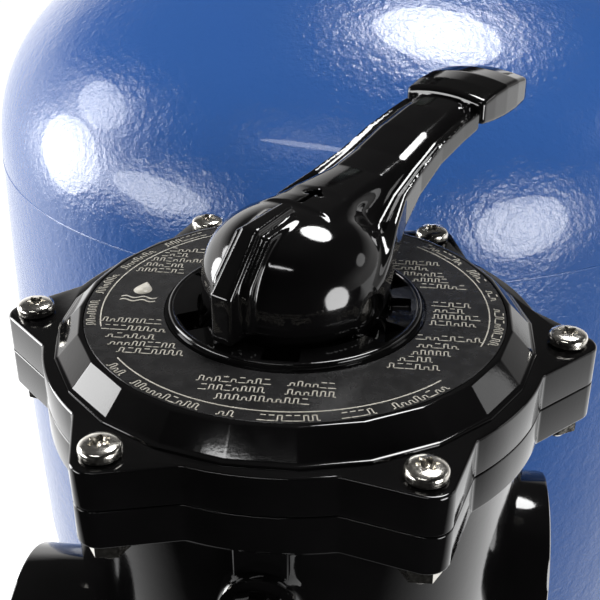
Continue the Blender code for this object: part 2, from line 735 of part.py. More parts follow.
def makeRotorGroup(mats):
    top = COVER_TOP_Z + PIN_RISE + 0.0075
    low = SEAT_Z + 0.0036
    rotor_profile = [
        (0, low), (ROTOR_R, low), (ROTOR_R, low + 0.009), (0.0260, low + 0.0190),
        (0.0100, low + 0.0190), (0.0100, low + 0.0210), (SHAFT_R, low + 0.0210), (SHAFT_R, top - 0.001),
        (SHAFT_R - 0.001, top), (0, top),
    ]
    white = mats["white_plastic"]
    rotor = turned("rotor", rotor_profile, white, atValve(), 28, closed=False)
    cut(rotor, prism("window", sectorOutline(0.0285, 0.055, 44, 101, 5), 0.50, 0.60, white, atValve()))
    bridge = sectorOutline(0.0243, 0.0552, 191, 320, 7)
    cut(rotor, prism("bridge", bridge, low - 0.01, low + 0.0055, white, atValve()))
    pin_place = atValve(COVER_TOP_Z + PIN_RISE) @ Matrix.Rotation(HANDLE_ANGLE - math.pi / 2, 4, "Z")
    pin_place = pin_place @ Matrix.Rotation(math.pi / 2, 4, "Y")
    cut(rotor, rod("pin_hole", PIN_R + 1.2 * GAP, -0.02, 0.02, white, pin_place, 14))
    setOrigin(rotor, (0, VALVE_Y, SEAT_Z))
    seal("shaft_oring", SHAFT_R + SEAL_THICK + 0.0002, SEAL_THICK, COVER_TOP_Z - 0.0075, mats["rubber"], atValve(), 16)
    cover_seal_z = COVER_TOP_Z - COVER_FLANGE - GAP - 0.0024 + SEAL_THICK
    seal("cover_oring", COVER_SEAL_R, SEAL_THICK, cover_seal_z, mats["rubber"], atValve(), 32)
    spoke_profile = [(0.0180, SEAT_Z + GAP), (0.0610, SEAT_Z + GAP), (0.0610, low - GAP), (0.0180, low - GAP)]
    gasket = turned("spider_gasket", spoke_profile, mats["rubber"], atValve(), 28)
    for k in range(5):
        window = sectorOutline(0.0210, 0.0570, 72 * k + 7, 72 * k + 65, 3)
        cut(gasket, prism("window", window, 0.50, 0.60, mats["rubber"], atValve()))
    washer_top = COVER_TOP_Z - COVER_FLANGE - GAP
    ring("thrust_washer", SHAFT_R + 0.0005, 0.0190, washer_top - 0.0020, washer_top, white, atValve(), 18)
    coil("rotor_spring", 0.0140, 0.0014, low + 0.0193, washer_top - 0.0020 - GAP, 4, mats["spring_steel"], atValve())
    ring("handle_washer", 0.0120, 0.0268, GAP - BOWL_DROP, 0.0005, white, atValve(COVER_TOP_Z), 20)
    setOrigin(rod("pivot_pin", PIN_R, -PIN_HALF, PIN_HALF, mats["stainless"], pin_place, 16),
              (0, VALVE_Y, COVER_TOP_Z + PIN_RISE))
    makeHandle(mats, pin_place)


def leverSection(along, top, bottom, crown_half, side_half):
    """One eight-point section across the lever; local X runs along it."""
    shoulder = top - 0.30 * (top - bottom)
    points = [
        (-crown_half * 0.7, top), (crown_half * 0.7, top), (crown_half, top - 0.0015), (side_half, shoulder),
        (side_half, bottom), (-side_half, bottom), (-side_half, shoulder), (-crown_half, top - 0.0015),
    ]
    return [(along, y, z) for y, z in points]


def makeHandle(mats, pin_place):
    """A domed hub with a pointer rib in front and a rising lever behind."""
    black = mats["black_gloss"]
    place = atValve(COVER_TOP_Z) @ Matrix.Rotation(HANDLE_ANGLE, 4, "Z")
    dome = [(0, 0.0008), (HUB_NECK_R, 0.0008), (HUB_NECK_R, 0.0112), (HUB_R, 0.0130)]
    for k in range(8):
        a = math.pi / 2 * k / 7
        dome.append((HUB_R * math.cos(a) ** 0.8 if k < 7 else 0, 0.0180 + 0.0240 * math.sin(a)))
    handle = turned("handle", dome, black, place, 24, closed=False)
    stations = [
        (0.004, 0.0415, 0.0130, 0.0115, 0.0230), (0.022, 0.0432, 0.0140, 0.0112, 0.0200),
        (0.034, 0.0438, 0.0215, 0.0108, 0.0165), (0.047, 0.0460, 0.0330, 0.0105, 0.0155),
        (0.062, 0.0507, 0.0390, 0.0103, 0.0153), (0.077, 0.0535, 0.0430, 0.0103, 0.0153),
        (0.0880, 0.0546, 0.0452, 0.0103, 0.0153),
    ]
    fuse(handle, lofted("lever", [leverSection(*s) for s in stations], black, place))
    grip = [
        (0.0865, 0.0545, 0.0448, 0.0120, 0.0155), (0.0890, 0.0562, 0.0448, 0.0130, 0.0163),
        (0.1050, 0.0580, 0.0450, 0.0135, 0.0163), (0.1200, 0.0568, 0.0452, 0.0130, 0.0160),
        (0.1290, 0.0545, 0.0455, 0.0110, 0.0140), (0.1315, 0.0520, 0.0465, 0.0080, 0.0110),
    ]
    fuse(handle, lofted("grip", [leverSection(*s) for s in grip], black, place))
    rib_side = [(-0.0361, 0.0106), (-0.0080, 0.0106), (-0.0080, 0.0440), (-0.0210, 0.0428), (-0.0362, 0.0255)]
    rib_half = 0.0043
    sections = [[(x, y, z) for x, z in rib_side] for y in (-rib_half, rib_half)]
    fuse(handle, lofted("pointer", sections, black, place))
    slot = prism("slot", box(0.0125, 0.0088), -0.010, 0.0260, black, place)
    cut(handle, slot)
    cut(handle, rod("pin_hole", PIN_R + 1.2 * GAP, -0.04, 0.04, black, pin_place, 14))
    setOrigin(handle, (0, VALVE_Y, COVER_TOP_Z + PIN_RISE))


def makeSmallParts(mats):
    ring("label_plate", LABEL_R[0], LABEL_R[1], LABEL_RISE - LABEL_THICK, LABEL_RISE - 0.0001, mats["label"],
         atValve(COVER_TOP_Z), 36)
    plug_place = facingFront(0, VALVE_Y, BOSS_Z)
    plug = [(0, 0.0760), (0.0063, 0.0760), (0.0063, BOSS_FRONT + GAP), (0.0096, BOSS_FRONT + GAP),
            (0.0096, BOSS_FRONT + 0.0035), (0, BOSS_FRONT + 0.0035)]
    cap = turned("gauge_port_plug", plug, mats["black_gloss"], plug_place, 14, closed=False)
    cut(cap, rod("hex", 0.0042, BOSS_FRONT + 0.0008, BOSS_FRONT + 0.010, mats["black_gloss"], plug_place, 6))


def main():
    for obj in list(bpy.data.objects):
        bpy.data.objects.remove(obj)
    mats = makeMaterials()
    makeTankShell(mats)
    makeFoot(mats)
    makeDrain(mats)
    for level, z in zip(("upper", "lower"), TANK_PORT_Z):
        makeConnection(level, z, mats)
    makeInternals(mats)
    makeClosure(mats)
    makeCover(mats)
    makeBody(mats)
    makeFasteners(mats)
    makeRotorGroup(mats)
    makeSmallParts(mats)


main()
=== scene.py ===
import bpy, bmesh, json, math, random
import numpy as np
from mathutils import Matrix, Vector


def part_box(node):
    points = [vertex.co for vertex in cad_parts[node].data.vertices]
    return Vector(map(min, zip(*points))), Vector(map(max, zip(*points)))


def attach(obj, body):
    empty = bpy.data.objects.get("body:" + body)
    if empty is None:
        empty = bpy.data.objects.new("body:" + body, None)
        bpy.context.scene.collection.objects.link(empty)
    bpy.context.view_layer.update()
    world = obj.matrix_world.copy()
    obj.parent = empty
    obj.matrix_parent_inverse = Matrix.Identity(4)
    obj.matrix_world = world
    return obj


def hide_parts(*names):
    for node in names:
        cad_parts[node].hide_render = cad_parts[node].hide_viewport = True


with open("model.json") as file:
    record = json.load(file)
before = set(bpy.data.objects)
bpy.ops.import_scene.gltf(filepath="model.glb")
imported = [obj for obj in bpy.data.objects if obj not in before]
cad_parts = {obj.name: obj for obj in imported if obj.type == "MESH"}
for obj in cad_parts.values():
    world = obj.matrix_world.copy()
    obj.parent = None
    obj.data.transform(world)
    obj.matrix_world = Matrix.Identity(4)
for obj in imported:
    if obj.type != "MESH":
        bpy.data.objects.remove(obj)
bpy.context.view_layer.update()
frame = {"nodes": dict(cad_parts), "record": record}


# places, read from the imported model

def boxOf(node):
    low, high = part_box(node)
    return Vector(low), Vector(high)


coverLow, coverHigh = boxOf("valve_cover")
axisX = (coverLow.x + coverHigh.x) / 2          # the valve's upright axis
axisY = (coverLow.y + coverHigh.y) / 2
flangeThick = 0.0125
flangeTop = coverLow.z + flangeThick
seamZ = boxOf("valve_body")[1].z                 # where the cover meets the body
print("frame loaded, valve axis at", round(axisX, 4), round(axisY, 4), "flange top", round(flangeTop, 4))


# shader helpers

def newMaterial(name):
    material = bpy.data.materials.new(name)
    material.use_nodes = True
    tree = material.node_tree
    return material, tree, tree.nodes["Principled BSDF"]


def addNode(tree, kind, **values):
    node = tree.nodes.new(kind)
    for key, value in values.items():
        if hasattr(node, key):
            setattr(node, key, value)
        else:
            node.inputs[key.replace("_", " ")].default_value = value
    return node


def objectNoise(tree, scale, detail=3.0, roughness=0.5, stretch=(1, 1, 1)):
    coords = addNode(tree, "ShaderNodeTexCoord")
    mapping = addNode(tree, "ShaderNodeMapping")
    mapping.inputs["Scale"].default_value = stretch
    noise = addNode(tree, "ShaderNodeTexNoise", Scale=scale, Detail=detail, Roughness=roughness)
    tree.links.new(coords.outputs["Object"], mapping.inputs["Vector"])
    tree.links.new(mapping.outputs["Vector"], noise.inputs["Vector"])
    return noise.outputs["Fac"]


def remap(tree, value, low, high, fromLow=0.3, fromHigh=0.7):
    node = addNode(tree, "ShaderNodeMapRange")
    node.inputs["From Min"].default_value = fromLow
    node.inputs["From Max"].default_value = fromHigh
    node.inputs["To Min"].default_value = low
    node.inputs["To Max"].default_value = high
    tree.links.new(value, node.inputs["Value"])
    return node.outputs["Result"]


def addBump(tree, shader, heights):
    # heights is a list of (value, distance in metres, strength)
    normal = None
    for value, distance, strength in heights:
        bump = addNode(tree, "ShaderNodeBump")
        bump.inputs["Distance"].default_value = distance
        bump.inputs["Strength"].default_value = strength
        tree.links.new(value, bump.inputs["Height"])
        if normal:
            tree.links.new(normal, bump.inputs["Normal"])
        normal = bump.outputs["Normal"]
    tree.links.new(normal, shader.inputs["Normal"])


def blendColour(tree, shader, value, first, second):
    mix = addNode(tree, "ShaderNodeMix", data_type="RGBA")
    mix.inputs["A"].default_value = (*first, 1)
    mix.inputs["B"].default_value = (*second, 1)
    tree.links.new(value, mix.inputs["Factor"])
    tree.links.new(mix.outputs["Result"], shader.inputs["Base Color"])


# the object's finishes

def glossyBlackPlastic():
    look = {"colour": (0.0022, 0.0021, 0.0022), "dull": (0.0042, 0.004, 0.0042), "roughness": (0.05, 0.10)}
    material, tree, shader = newMaterial("glossyBlackPlastic")
    cloud = objectNoise(tree, 38, 4)
    blendColour(tree, shader, remap(tree, cloud, 0, 1), look["colour"], look["dull"])
    smear = objectNoise(tree, 95, 5, 0.6, (1, 1, 0.35))
    tree.links.new(remap(tree, smear, *look["roughness"]), shader.inputs["Roughness"])
    shader.inputs["Specular IOR Level"].default_value = 0.5
    shader.inputs["IOR"].default_value = 1.5
    ripple = objectNoise(tree, 60, 2)
    grain = objectNoise(tree, 900, 2)
    addBump(tree, shader, [(ripple, 0.0004, 0.10), (grain, 0.00006, 0.12)])
    return material


def satinBlackPlastic():
    material, tree, shader = newMaterial("satinBlackPlastic")
    cloud = objectNoise(tree, 30, 4)
    blendColour(tree, shader, remap(tree, cloud, 0, 1), (0.012, 0.012, 0.013), (0.022, 0.022, 0.023))
    tree.links.new(remap(tree, objectNoise(tree, 140, 4), 0.32, 0.48), shader.inputs["Roughness"])
    addBump(tree, shader, [(objectNoise(tree, 1400, 3), 0.00012, 0.35)])
    return material


def tankBlueSkin():
    look = {"colour": (0.026, 0.092, 0.305), "shade": (0.031, 0.100, 0.325), "roughness": 0.20}
    material, tree, shader = newMaterial("tankBlueSkin")
    blendColour(tree, shader, remap(tree, objectNoise(tree, 7, 3), 0, 1), look["colour"], look["shade"])
    shader.inputs["Roughness"].default_value = look["roughness"]
    shader.inputs["Coat Weight"].default_value = 0.35
    shader.inputs["Coat Roughness"].default_value = 0.04
    swirl = objectNoise(tree, 42, 3, 0.55)
    orangePeel = objectNoise(tree, 210, 4, 0.6)
    fine = objectNoise(tree, 560, 3, 0.6)
    addBump(tree, shader, [(swirl, 0.0026, 0.30), (orangePeel, 0.0012, 0.42), (fine, 0.0005, 0.45)])
    return material


def labelFace():
    material, tree, shader = newMaterial("labelFace")
    cloud = objectNoise(tree, 55, 3)
    blendColour(tree, shader, remap(tree, cloud, 0, 1), (0.011, 0.0107, 0.011), (0.015, 0.0146, 0.015))
    tree.links.new(remap(tree, objectNoise(tree, 260, 3), 0.22, 0.30), shader.inputs["Roughness"])
    addBump(tree, shader, [(objectNoise(tree, 1800, 2), 0.00005, 0.25)])
    return material


def labelInk():
    material, tree, shader = newMaterial("labelInk")
    blendColour(tree, shader, remap(tree, objectNoise(tree, 700, 3), 0, 1), (0.50, 0.47, 0.40),
                (0.62, 0.585, 0.51))
    shader.inputs["Roughness"].default_value = 0.42
    return material


def polishedStainless():
    material, tree, shader = newMaterial("polishedStainless")
    shader.inputs["Metallic"].default_value = 1.0
    blendColour(tree, shader, remap(tree, objectNoise(tree, 500, 3), 0, 1), (0.66, 0.63, 0.57),
                (0.78, 0.755, 0.70))
    tree.links.new(remap(tree, objectNoise(tree, 900, 4), 0.13, 0.26), shader.inputs["Roughness"])
    addBump(tree, shader, [(objectNoise(tree, 2600, 3), 0.00004, 0.3)])
    return material


def drawnSteel():
    material, tree, shader = newMaterial("drawnSteel")
    shader.inputs["Metallic"].default_value = 1.0
    blendColour(tree, shader, objectNoise(tree, 400, 3), (0.42, 0.42, 0.43), (0.58, 0.58, 0.58))
    shader.inputs["Roughness"].default_value = 0.32
    return material


def mattRubber():
    material, tree, shader = newMaterial("mattRubber")
    blendColour(tree, shader, objectNoise(tree, 200, 4), (0.012, 0.012, 0.012), (0.026, 0.026, 0.026))
    shader.inputs["Roughness"].default_value = 0.75
    addBump(tree, shader, [(objectNoise(tree, 1500, 3), 0.0001, 0.4)])
    return material


def whiteMoulding():
    material, tree, shader = newMaterial("whiteMoulding")
    blendColour(tree, shader, objectNoise(tree, 25, 3), (0.70, 0.70, 0.67), (0.80, 0.80, 0.77))
    shader.inputs["Roughness"].default_value = 0.38
    addBump(tree, shader, [(objectNoise(tree, 900, 3), 0.0001, 0.25)])
    return material


def dialFace():
    material, tree, shader = newMaterial("dialFace")
    blendColour(tree, shader, objectNoise(tree, 60, 2), (0.78, 0.78, 0.76), (0.84, 0.84, 0.82))
    shader.inputs["Roughness"].default_value = 0.5
    return material


def clearWindow():
    material, tree, shader = newMaterial("clearWindow")
    shader.inputs["Base Color"].default_value = (0.95, 0.97, 0.98, 1)
    shader.inputs["Transmission Weight"].default_value = 1.0
    shader.inputs["IOR"].default_value = 1.46
    tree.links.new(remap(tree, objectNoise(tree, 120, 2), 0.02, 0.06), shader.inputs["Roughness"])
    return material


finishes = {
    "gloss": glossyBlackPlastic(), "satin": satinBlackPlastic(), "blue": tankBlueSkin(),
    "label": labelFace(), "ink": labelInk(), "stainless": polishedStainless(), "spring": drawnSteel(),
    "rubber": mattRubber(), "white": whiteMoulding(), "dial": dialFace(), "clear": clearWindow(),
}
slotLooks = {
    "black_gloss": "gloss", "black_satin": "satin", "tank_blue": "blue", "label": "label",
    "stainless": "stainless", "spring_steel": "spring", "rubber": "rubber", "white_plastic": "white",
    "dial_white": "dial", "clear": "clear",
}
for part in frame["record"]["subparts"]:
    node = frame["nodes"][part["node"]]
    for slot in node.material_slots:
        slot.material = finishes[slotLooks[part["material_slot"]]]
print("finishes given to", len(frame["nodes"]), "frame nodes")


# mesh helpers

def makeObject(name, bm, finish, sharpAngle=32):
    mesh = bpy.data.meshes.new(name)
    bm.to_mesh(mesh)
    bm.free()
    mesh.materials.append(finishes[finish])
    mesh.shade_smooth()
    if sharpAngle:
        mesh.set_sharp_from_angle(angle=math.radians(sharpAngle))
    obj = bpy.data.objects.new(name, mesh)
    bpy.context.scene.collection.objects.link(obj)
    return obj


def lathe(bm, profile, segments, centre=(0, 0, 0), phase=0.0, closed=False):
    # profile runs (radius, height) up the outer side and back down the inner one
    rows = []
    for radius, height in profile:
        if radius < 1e-7:
            rows.append([bm.verts.new((centre[0], centre[1], centre[2] + height))])
            continue
        row = []
        for k in range(segments):
            a = phase + math.tau * k / segments
            row.append(bm.verts.new((centre[0] + radius * math.cos(a), centre[1] + radius * math.sin(a),
                                     centre[2] + height)))
        rows.append(row)
    pairs = list(zip(rows, rows[1:]))
    if closed:
        pairs.append((rows[-1], rows[0]))
    faces = []
    for low, high in pairs:
        for k in range(segments):
            n = (k + 1) % segments
            if len(low) > 1 and len(high) > 1:
                faces.append(bm.faces.new((low[k], low[n], high[n], high[k])))
            elif len(high) > 1:
                faces.append(bm.faces.new((low[0], high[n], high[k])))
            elif len(low) > 1:
                faces.append(bm.faces.new((low[k], low[n], high[0])))
    return faces


def turnMesh(bm, start, matrix):
    for vert in list(bm.verts)[start:]:
        vert.co = matrix @ vert.co


def bevelAndApply(obj, width, segments=3, angle=30):
    bevel = obj.modifiers.new("edges", "BEVEL")
    bevel.width = width
    bevel.segments = segments
    bevel.limit_method = "ANGLE"
    bevel.angle_limit = math.radians(angle)
    bevel.miter_outer = "MITER_ARC"
    bevel.harden_normals = False
    applyModifiers(obj)


def applyModifiers(obj):
    graph = bpy.context.evaluated_depsgraph_get()
    mesh = bpy.data.meshes.new_from_object(obj.evaluated_get(graph))
    obj.modifiers.clear()
    old = obj.data
    obj.data = mesh
    bpy.data.meshes.remove(old)
    return obj


def booleanWith(obj, other, operation):
    modifier = obj.modifiers.new("cut", "BOOLEAN")
    modifier.operation = operation
    modifier.solver = "EXACT"
    modifier.object = other
    bpy.context.view_layer.update()
    applyModifiers(obj)
    bpy.data.objects.remove(other)
    bm = bmesh.new()
    bm.from_mesh(obj.data)
    bmesh.ops.remove_doubles(bm, verts=bm.verts, dist=4e-6)
    bmesh.ops.dissolve_degenerate(bm, edges=bm.edges, dist=4e-6)
    bm.to_mesh(obj.data)
    bm.free()
    return obj


def smoothShade(obj, angle=32):
    obj.data.shade_smooth()
    obj.data.set_sharp_from_angle(angle=math.radians(angle))
    return obj


def place(obj, body, *nodes, slot="black_gloss"):
    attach(obj, body)
    if nodes:
        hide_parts(*nodes)
    return obj


# tank

tank = {
    "radius": 0.240, "bulge": 0.0024, "seamZ": 0.545, "basinTopZ": 0.285, "basinDrop": 0.190,
    "domeRise": 0.148, "crest": 2.3, "side": 2.03, "neckRadius": 0.098, "neckTop": 0.700,
    "mouth": 0.080, "wall": 0.006, "seamHeight": 0.00035, "seamWidth": 0.0011, "segments": 192,
    "neckFillet": 0.006, "mouthDepth": 0.022, "edge": 0.001, "gap": 0.0003,
    "pad": 0.042, "padFrom": 0.229, "padEdge": 0.0015, "padBore": 0.0256, "padBoreReach": (0.20, 0.27),
    "spigot": 0.022, "spigotFrom": 0.206, "drainBore": 0.0131, "drainBoreReach": (0.18, 0.26),
}


def domeRows(radius, rise, lastRadius, steps):
    top = (1 - (lastRadius / radius) ** tank["side"]) ** (1 / tank["crest"])
    rows = []
    for k in range(steps + 1):
        h = top * math.sin(math.pi / 2 * k / steps)
        rows.append((radius * (1 - h ** tank["crest"]) ** (1 / tank["side"]), rise * h))
    return rows


def tankOuterRows():
    top, height = tank["basinTopZ"], tank["seamZ"] - tank["basinTopZ"]
    basin = domeRows(tank["radius"], tank["basinDrop"], 0.008, 30)
    dome = domeRows(tank["radius"], tank["domeRise"], tank["neckRadius"] + tank["neckFillet"], 36)
    rows = [(0, top - tank["basinDrop"])] + [(r, top - z) for r, z in reversed(basin)]
    for k in range(1, 24):
        share = k / 24
        rows.append((tank["radius"] + tank["bulge"] * math.sin(math.pi * share), top + height * share))
    return rows + seamRows() + [(r, tank["seamZ"] + z) for r, z in dome[1:]]


def seamRows():
    # a fine raised bead where the two halves were joined
    rows = []
    for k in range(7):
        a = math.pi * k / 6
        rows.append((tank["radius"] + tank["seamHeight"] * math.sin(a),
                     tank["seamZ"] - tank["seamWidth"] / 2 * math.cos(a)))
    return rows


def makeTank():
    outer = tankOuterRows()
    lastRadius, lastHeight = outer[-1]
    fillet, edge, wall = tank["neckFillet"], tank["edge"], tank["wall"]
    radius, mouth, top = tank["neckRadius"], tank["mouth"], tank["neckTop"]
    neck = []
    for k in range(1, 6):                         # small fillet into the neck
        a = math.pi / 2 * k / 5
        neck.append((lastRadius - fillet * math.sin(a), lastHeight + fillet * (1 - math.cos(a))))
    neck += [(radius, top - edge), (radius - edge, top), (mouth + edge, top), (mouth, top - edge),
             (mouth, top - tank["mouthDepth"])]
    dome = domeRows(tank["radius"], tank["domeRise"] - wall, radius + 0.002, 16)
    basin = domeRows(tank["radius"], tank["basinDrop"] - wall, 0.01, 14)
    inner = [(r - wall, tank["seamZ"] + z) for r, z in reversed(dome)]
    inner += [(r * (1 - wall / tank["radius"]), tank["basinTopZ"] - z) for r, z in basin]
    bm = bmesh.new()
    lathe(bm, outer + neck + inner + [(0, inner[-1][1])], tank["segments"])
    shell = makeObject("tankShell", bm, "blue")
    addTankPads(shell)
    return place(shell, "filter", "tank_shell", slot="tank_blue")


def lieAlongFront(x, z):
    return Matrix.Translation((x, 0, z)) @ Matrix.Rotation(math.pi / 2, 4, "X")


def addTankPads(shell):
    # raised rounds for the two fittings and the drain
    for node in ("bulkhead_nut_upper", "bulkhead_nut_lower"):
        low, high = boxOf(node)
        ahead = lieAlongFront(0, (low.z + high.z) / 2)
        addBar(shell, tank["pad"], tank["padFrom"], -high.y - tank["gap"], ahead, 72, tank["padEdge"])
        drill(shell, tank["padBore"], *tank["padBoreReach"], ahead, 48)
    low, high = boxOf("drain_gasket")
    ahead = lieAlongFront(0, (low.z + high.z) / 2)
    addBar(shell, tank["spigot"], tank["spigotFrom"], -high.y - tank["gap"], ahead, 56, tank["edge"])
    drill(shell, tank["drainBore"], *tank["drainBoreReach"], ahead, 40)
    smoothShade(shell, 40)


def roundBar(name, radius, low, high, matrix, segments, edge):
    bm = bmesh.new()
    profile = [(0, low), (radius, low)]
    if edge:
        profile += [(radius, high - edge), (radius - 0.3 * edge, high - 0.3 * edge), (radius - edge, high)]
    else:
        profile += [(radius, high)]
    lathe(bm, profile + [(0, high)], segments)
    turnMesh(bm, 0, matrix)
    return makeObject(name, bm, "gloss")


def addBar(obj, radius, low, high, matrix, segments, edge=0):
    booleanWith(obj, roundBar("bar", radius, low, high, matrix, segments, edge), "UNION")


def drill(obj, radius, low, high, matrix, segments):
    booleanWith(obj, roundBar("drill", radius, low, high, matrix, segments, 0), "DIFFERENCE")


makeTank()
print("tank made")


closure = {
    "segments": 96, "gaugeY": -0.022, "dialDeep": 0.0312, "stem": 0.0085, "collar": 0.0130,
    "collarLow": 0.7403,
    "collarHigh": 0.7560, "lugs": 8, "lugDeep": 0.014, "lugWide": 0.022, "lugHigh": 0.022, "lugAt": 0.1095,
    "lugMiddleZ": 0.7015, "lugEdge": 0.0014, "spigot": 0.0080, "spigotReach": (0.016, 0.034),
    "vent": 0.0042,
    "ventReach": (0.005, 0.040),
    # outlines as (radius, height), up the outer side and back down the inner one
    "lid": [(0.0100, 0.7160), (0.0550, 0.7120), (0.0700, 0.7063), (0.0770, 0.7063), (0.0770, 0.6850),
            (0.0790, 0.6850), (0.0790, 0.7026), (0.0956, 0.7026), (0.0960, 0.7030), (0.0960, 0.7084),
            (0.0955, 0.7091), (0.0900, 0.7102), (0.0790, 0.7118), (0.0740, 0.7130), (0.0690, 0.7148),
            (0.0620, 0.7176), (0.0560, 0.7190), (0.0440, 0.7204), (0.0270, 0.7221), (0.0248, 0.7230),
            (0.0240, 0.7245), (0.0240, 0.7390), (0.0230, 0.7400), (0.0100, 0.7400)],
    "ring": [(0.0992, 0.6905), (0.1070, 0.6905), (0.1080, 0.6915), (0.1080, 0.7108), (0.1074, 0.7121),
             (0.1060, 0.7126), (0.0872, 0.7149), (0.0862, 0.7145), (0.0860, 0.7138), (0.0860, 0.7120),
             (0.0963, 0.7096), (0.0992, 0.7096)],
    "case": [(0, -0.022), (0.0300, -0.022), (0.0315, -0.0212), (0.0326, -0.0192), (0.0330, -0.0165),
             (0.0330, 0.0070), (0.0326, 0.0090), (0.0316, 0.0100), (0.0308, 0.0100), (0.0301, 0.0094),
             (0.0300, 0.0085), (0.0300, -0.016), (0, -0.016)],
}
foot = {
    "edge": [(0, 0), (0.2115, 0), (0.2128, 0.0005), (0.2146, 0.0030), (0.2148, 0.0110), (0.2135, 0.0150)],
    "wallLow": (0.2125, 0.0175), "wallHigh": (0.2030, 0.1555), "steps": 8,
    "rim": [(0.2024, 0.1585), (0.2020, 0.1620), (0.2005, 0.1638)],
    "cradle": (0.1975, 0.1950, 0.1925, 0.1900, 0.1878), "cradleOuter": 0.1990, "cradleInner": 0.1862,
    "gap": 0.0008,
    "inside": [(0.1860, 0.1420), (0.1968, 0.1300), (0.2080, 0.0060), (0, 0.0060)],
}


def basinHeight(radius):
    share = 1 - (radius / tank["radius"]) ** tank["side"]
    return tank["basinTopZ"] - tank["basinDrop"] * share ** (1 / tank["crest"])


def makeFoot():
    # a closed pan whose rim cradles the tank
    low, high = Vector(foot["wallLow"]), Vector(foot["wallHigh"])
    rows = foot["edge"] + [tuple(low.lerp(high, k / foot["steps"]))
                           for k in range(foot["steps"] + 1)] + foot["rim"]
    rows += [(foot["cradleOuter"] + 0.0005, basinHeight(foot["cradleOuter"]) - foot["gap"] - 0.0002)]
    rows += [(r, basinHeight(r) - foot["gap"]) for r in foot["cradle"]]
    rows += [(foot["cradleInner"],
              basinHeight(foot["cradleInner"]) - foot["gap"] - 0.0004)] + foot["inside"]
    bm = bmesh.new()
    lathe(bm, rows, tank["segments"])
    return place(makeObject("mouldedFoot", bm, "satin", 40), "filter", "tank_foot", slot="black_satin")


def makeLid():
    bm = bmesh.new()
    lathe(bm, closure["lid"], closure["segments"], closed=True)
    lid = makeObject("fillerLid", bm, "gloss")
    z = sum(p.z for p in boxOf("air_release_oring")) / 2
    addBar(lid, closure["spigot"], *closure["spigotReach"], lieAlongFront(0, z), 40, 0.0006)
    drill(lid, closure["vent"], *closure["ventReach"], lieAlongFront(0, z), 28)
    return place(smoothShade(lid, 34), "filter", "lid")


def makeLidRing():
    bm = bmesh.new()
    lathe(bm, closure["ring"], closure["segments"], closed=True)
    ring = makeObject("clampRing", bm, "gloss")
    size = (closure["lugDeep"], closure["lugWide"], closure["lugHigh"])
    outwards = Matrix.Translation((closure["lugAt"], 0, closure["lugMiddleZ"]))
    for k in range(closure["lugs"]):
        lug = bmesh.new()
        bmesh.ops.create_cube(lug, size=1, matrix=Matrix.Diagonal((*size, 1)))
        bmesh.ops.bevel(lug, geom=lug.edges, offset=closure["lugEdge"], segments=3, affect="EDGES",
                        profile=0.5)
        turnMesh(lug, 0, Matrix.Rotation(math.tau * k / closure["lugs"], 4, "Z") @ outwards)
        booleanWith(ring, makeObject("lug", lug, "gloss"), "UNION")
    return place(smoothShade(ring, 34), "filter", "lid_ring")


def makeGauge():
    low, high = boxOf("gauge_lens")
    centre = Vector(((low.x + high.x) / 2, closure["gaugeY"], (low.z + high.z) / 2))
    bm = bmesh.new()
    lathe(bm, closure["case"], closure["segments"])
    turnMesh(bm, 0, Matrix.Translation(centre) @ Matrix.Rotation(math.pi / 2, 4, "X"))
    case = makeObject("gaugeHousing", bm, "gloss")
    stemLow, stemHigh = boxOf("gauge_case")[0].z, centre.z - closure["dialDeep"]
    addBar(case, closure["stem"], stemLow, stemHigh, Matrix.Identity(4), 48)
    radius, low, high = closure["collar"], closure["collarLow"], closure["collarHigh"]
    collar = bmesh.new()
    lathe(collar, [(0, low), (radius - 0.0008, low), (radius, low + 0.0007), (radius, high - 0.0007),
                   (radius - 0.0008, high), (0, high)], 6)
    booleanWith(case, makeObject("collar", collar, "gloss"), "UNION")
    return place(smoothShade(case, 34), "filter", "gauge_case")


makeFoot()
makeLid()
makeLidRing()
makeGauge()
print("foot, lid and gauge made")


# flanges of the cover and the body

ears = {"circle": 0.080, "apex": 0.098, "tipRound": 0.007, "neckRound": 0.004, "edge": 0.0009,
        "bolts": 0.086}


def earOutline():
    # six right-angled ears on a round flange, with soft inner corners
    tip = ears["apex"] - ears["tipRound"] * math.sqrt(2)
    flank = ears["apex"] / math.sqrt(2)             # distance of an ear's flank from the axis
    # a small circle outside, touching both the flank and the big circle
    fillet = ears["neckRound"]
    across = flank + fillet
    reach = ears["circle"] + fillet
    along = -math.sqrt(reach * reach - across * across)
    points = []
    for k in range(6):
        middle = math.tau * k / 6
        side = []
        for j in range(9):                          # half of the tip, from the ear's middle outwards
            a = math.pi / 4 * j / 8
            side.append((tip + ears["tipRound"] * math.cos(a), ears["tipRound"] * math.sin(a)))
        slope = Vector((math.cos(math.pi / 4), math.sin(math.pi / 4)))
        centre = slope * across + Vector((-slope.y, slope.x)) * along
        toFlank = -slope
        toCircle = -centre.normalized()
        start = math.atan2(toFlank.y, toFlank.x)
        turn = math.atan2(toFlank.x * toCircle.y - toFlank.y * toCircle.x, toFlank.dot(toCircle))
        for j in range(9):
            a = start + turn * j / 8
            side.append((centre.x + fillet * math.cos(a), centre.y + fillet * math.sin(a)))
        leave = math.atan2(side[-1][1], side[-1][0])
        for j in range(1, 8):
            a = leave + (math.pi / 6 - leave) * j / 8
            side.append((ears["circle"] * math.cos(a), ears["circle"] * math.sin(a)))
        side.append((ears["circle"] * math.cos(math.pi / 6), ears["circle"] * math.sin(math.pi / 6)))
        mirrored = [(x, -y) for x, y in reversed(side[1:-1])]
        for x, y in mirrored + side:
            points.append((axisX + x * math.cos(middle) - y * math.sin(middle),
                           axisY + x * math.sin(middle) + y * math.cos(middle)))
    return points


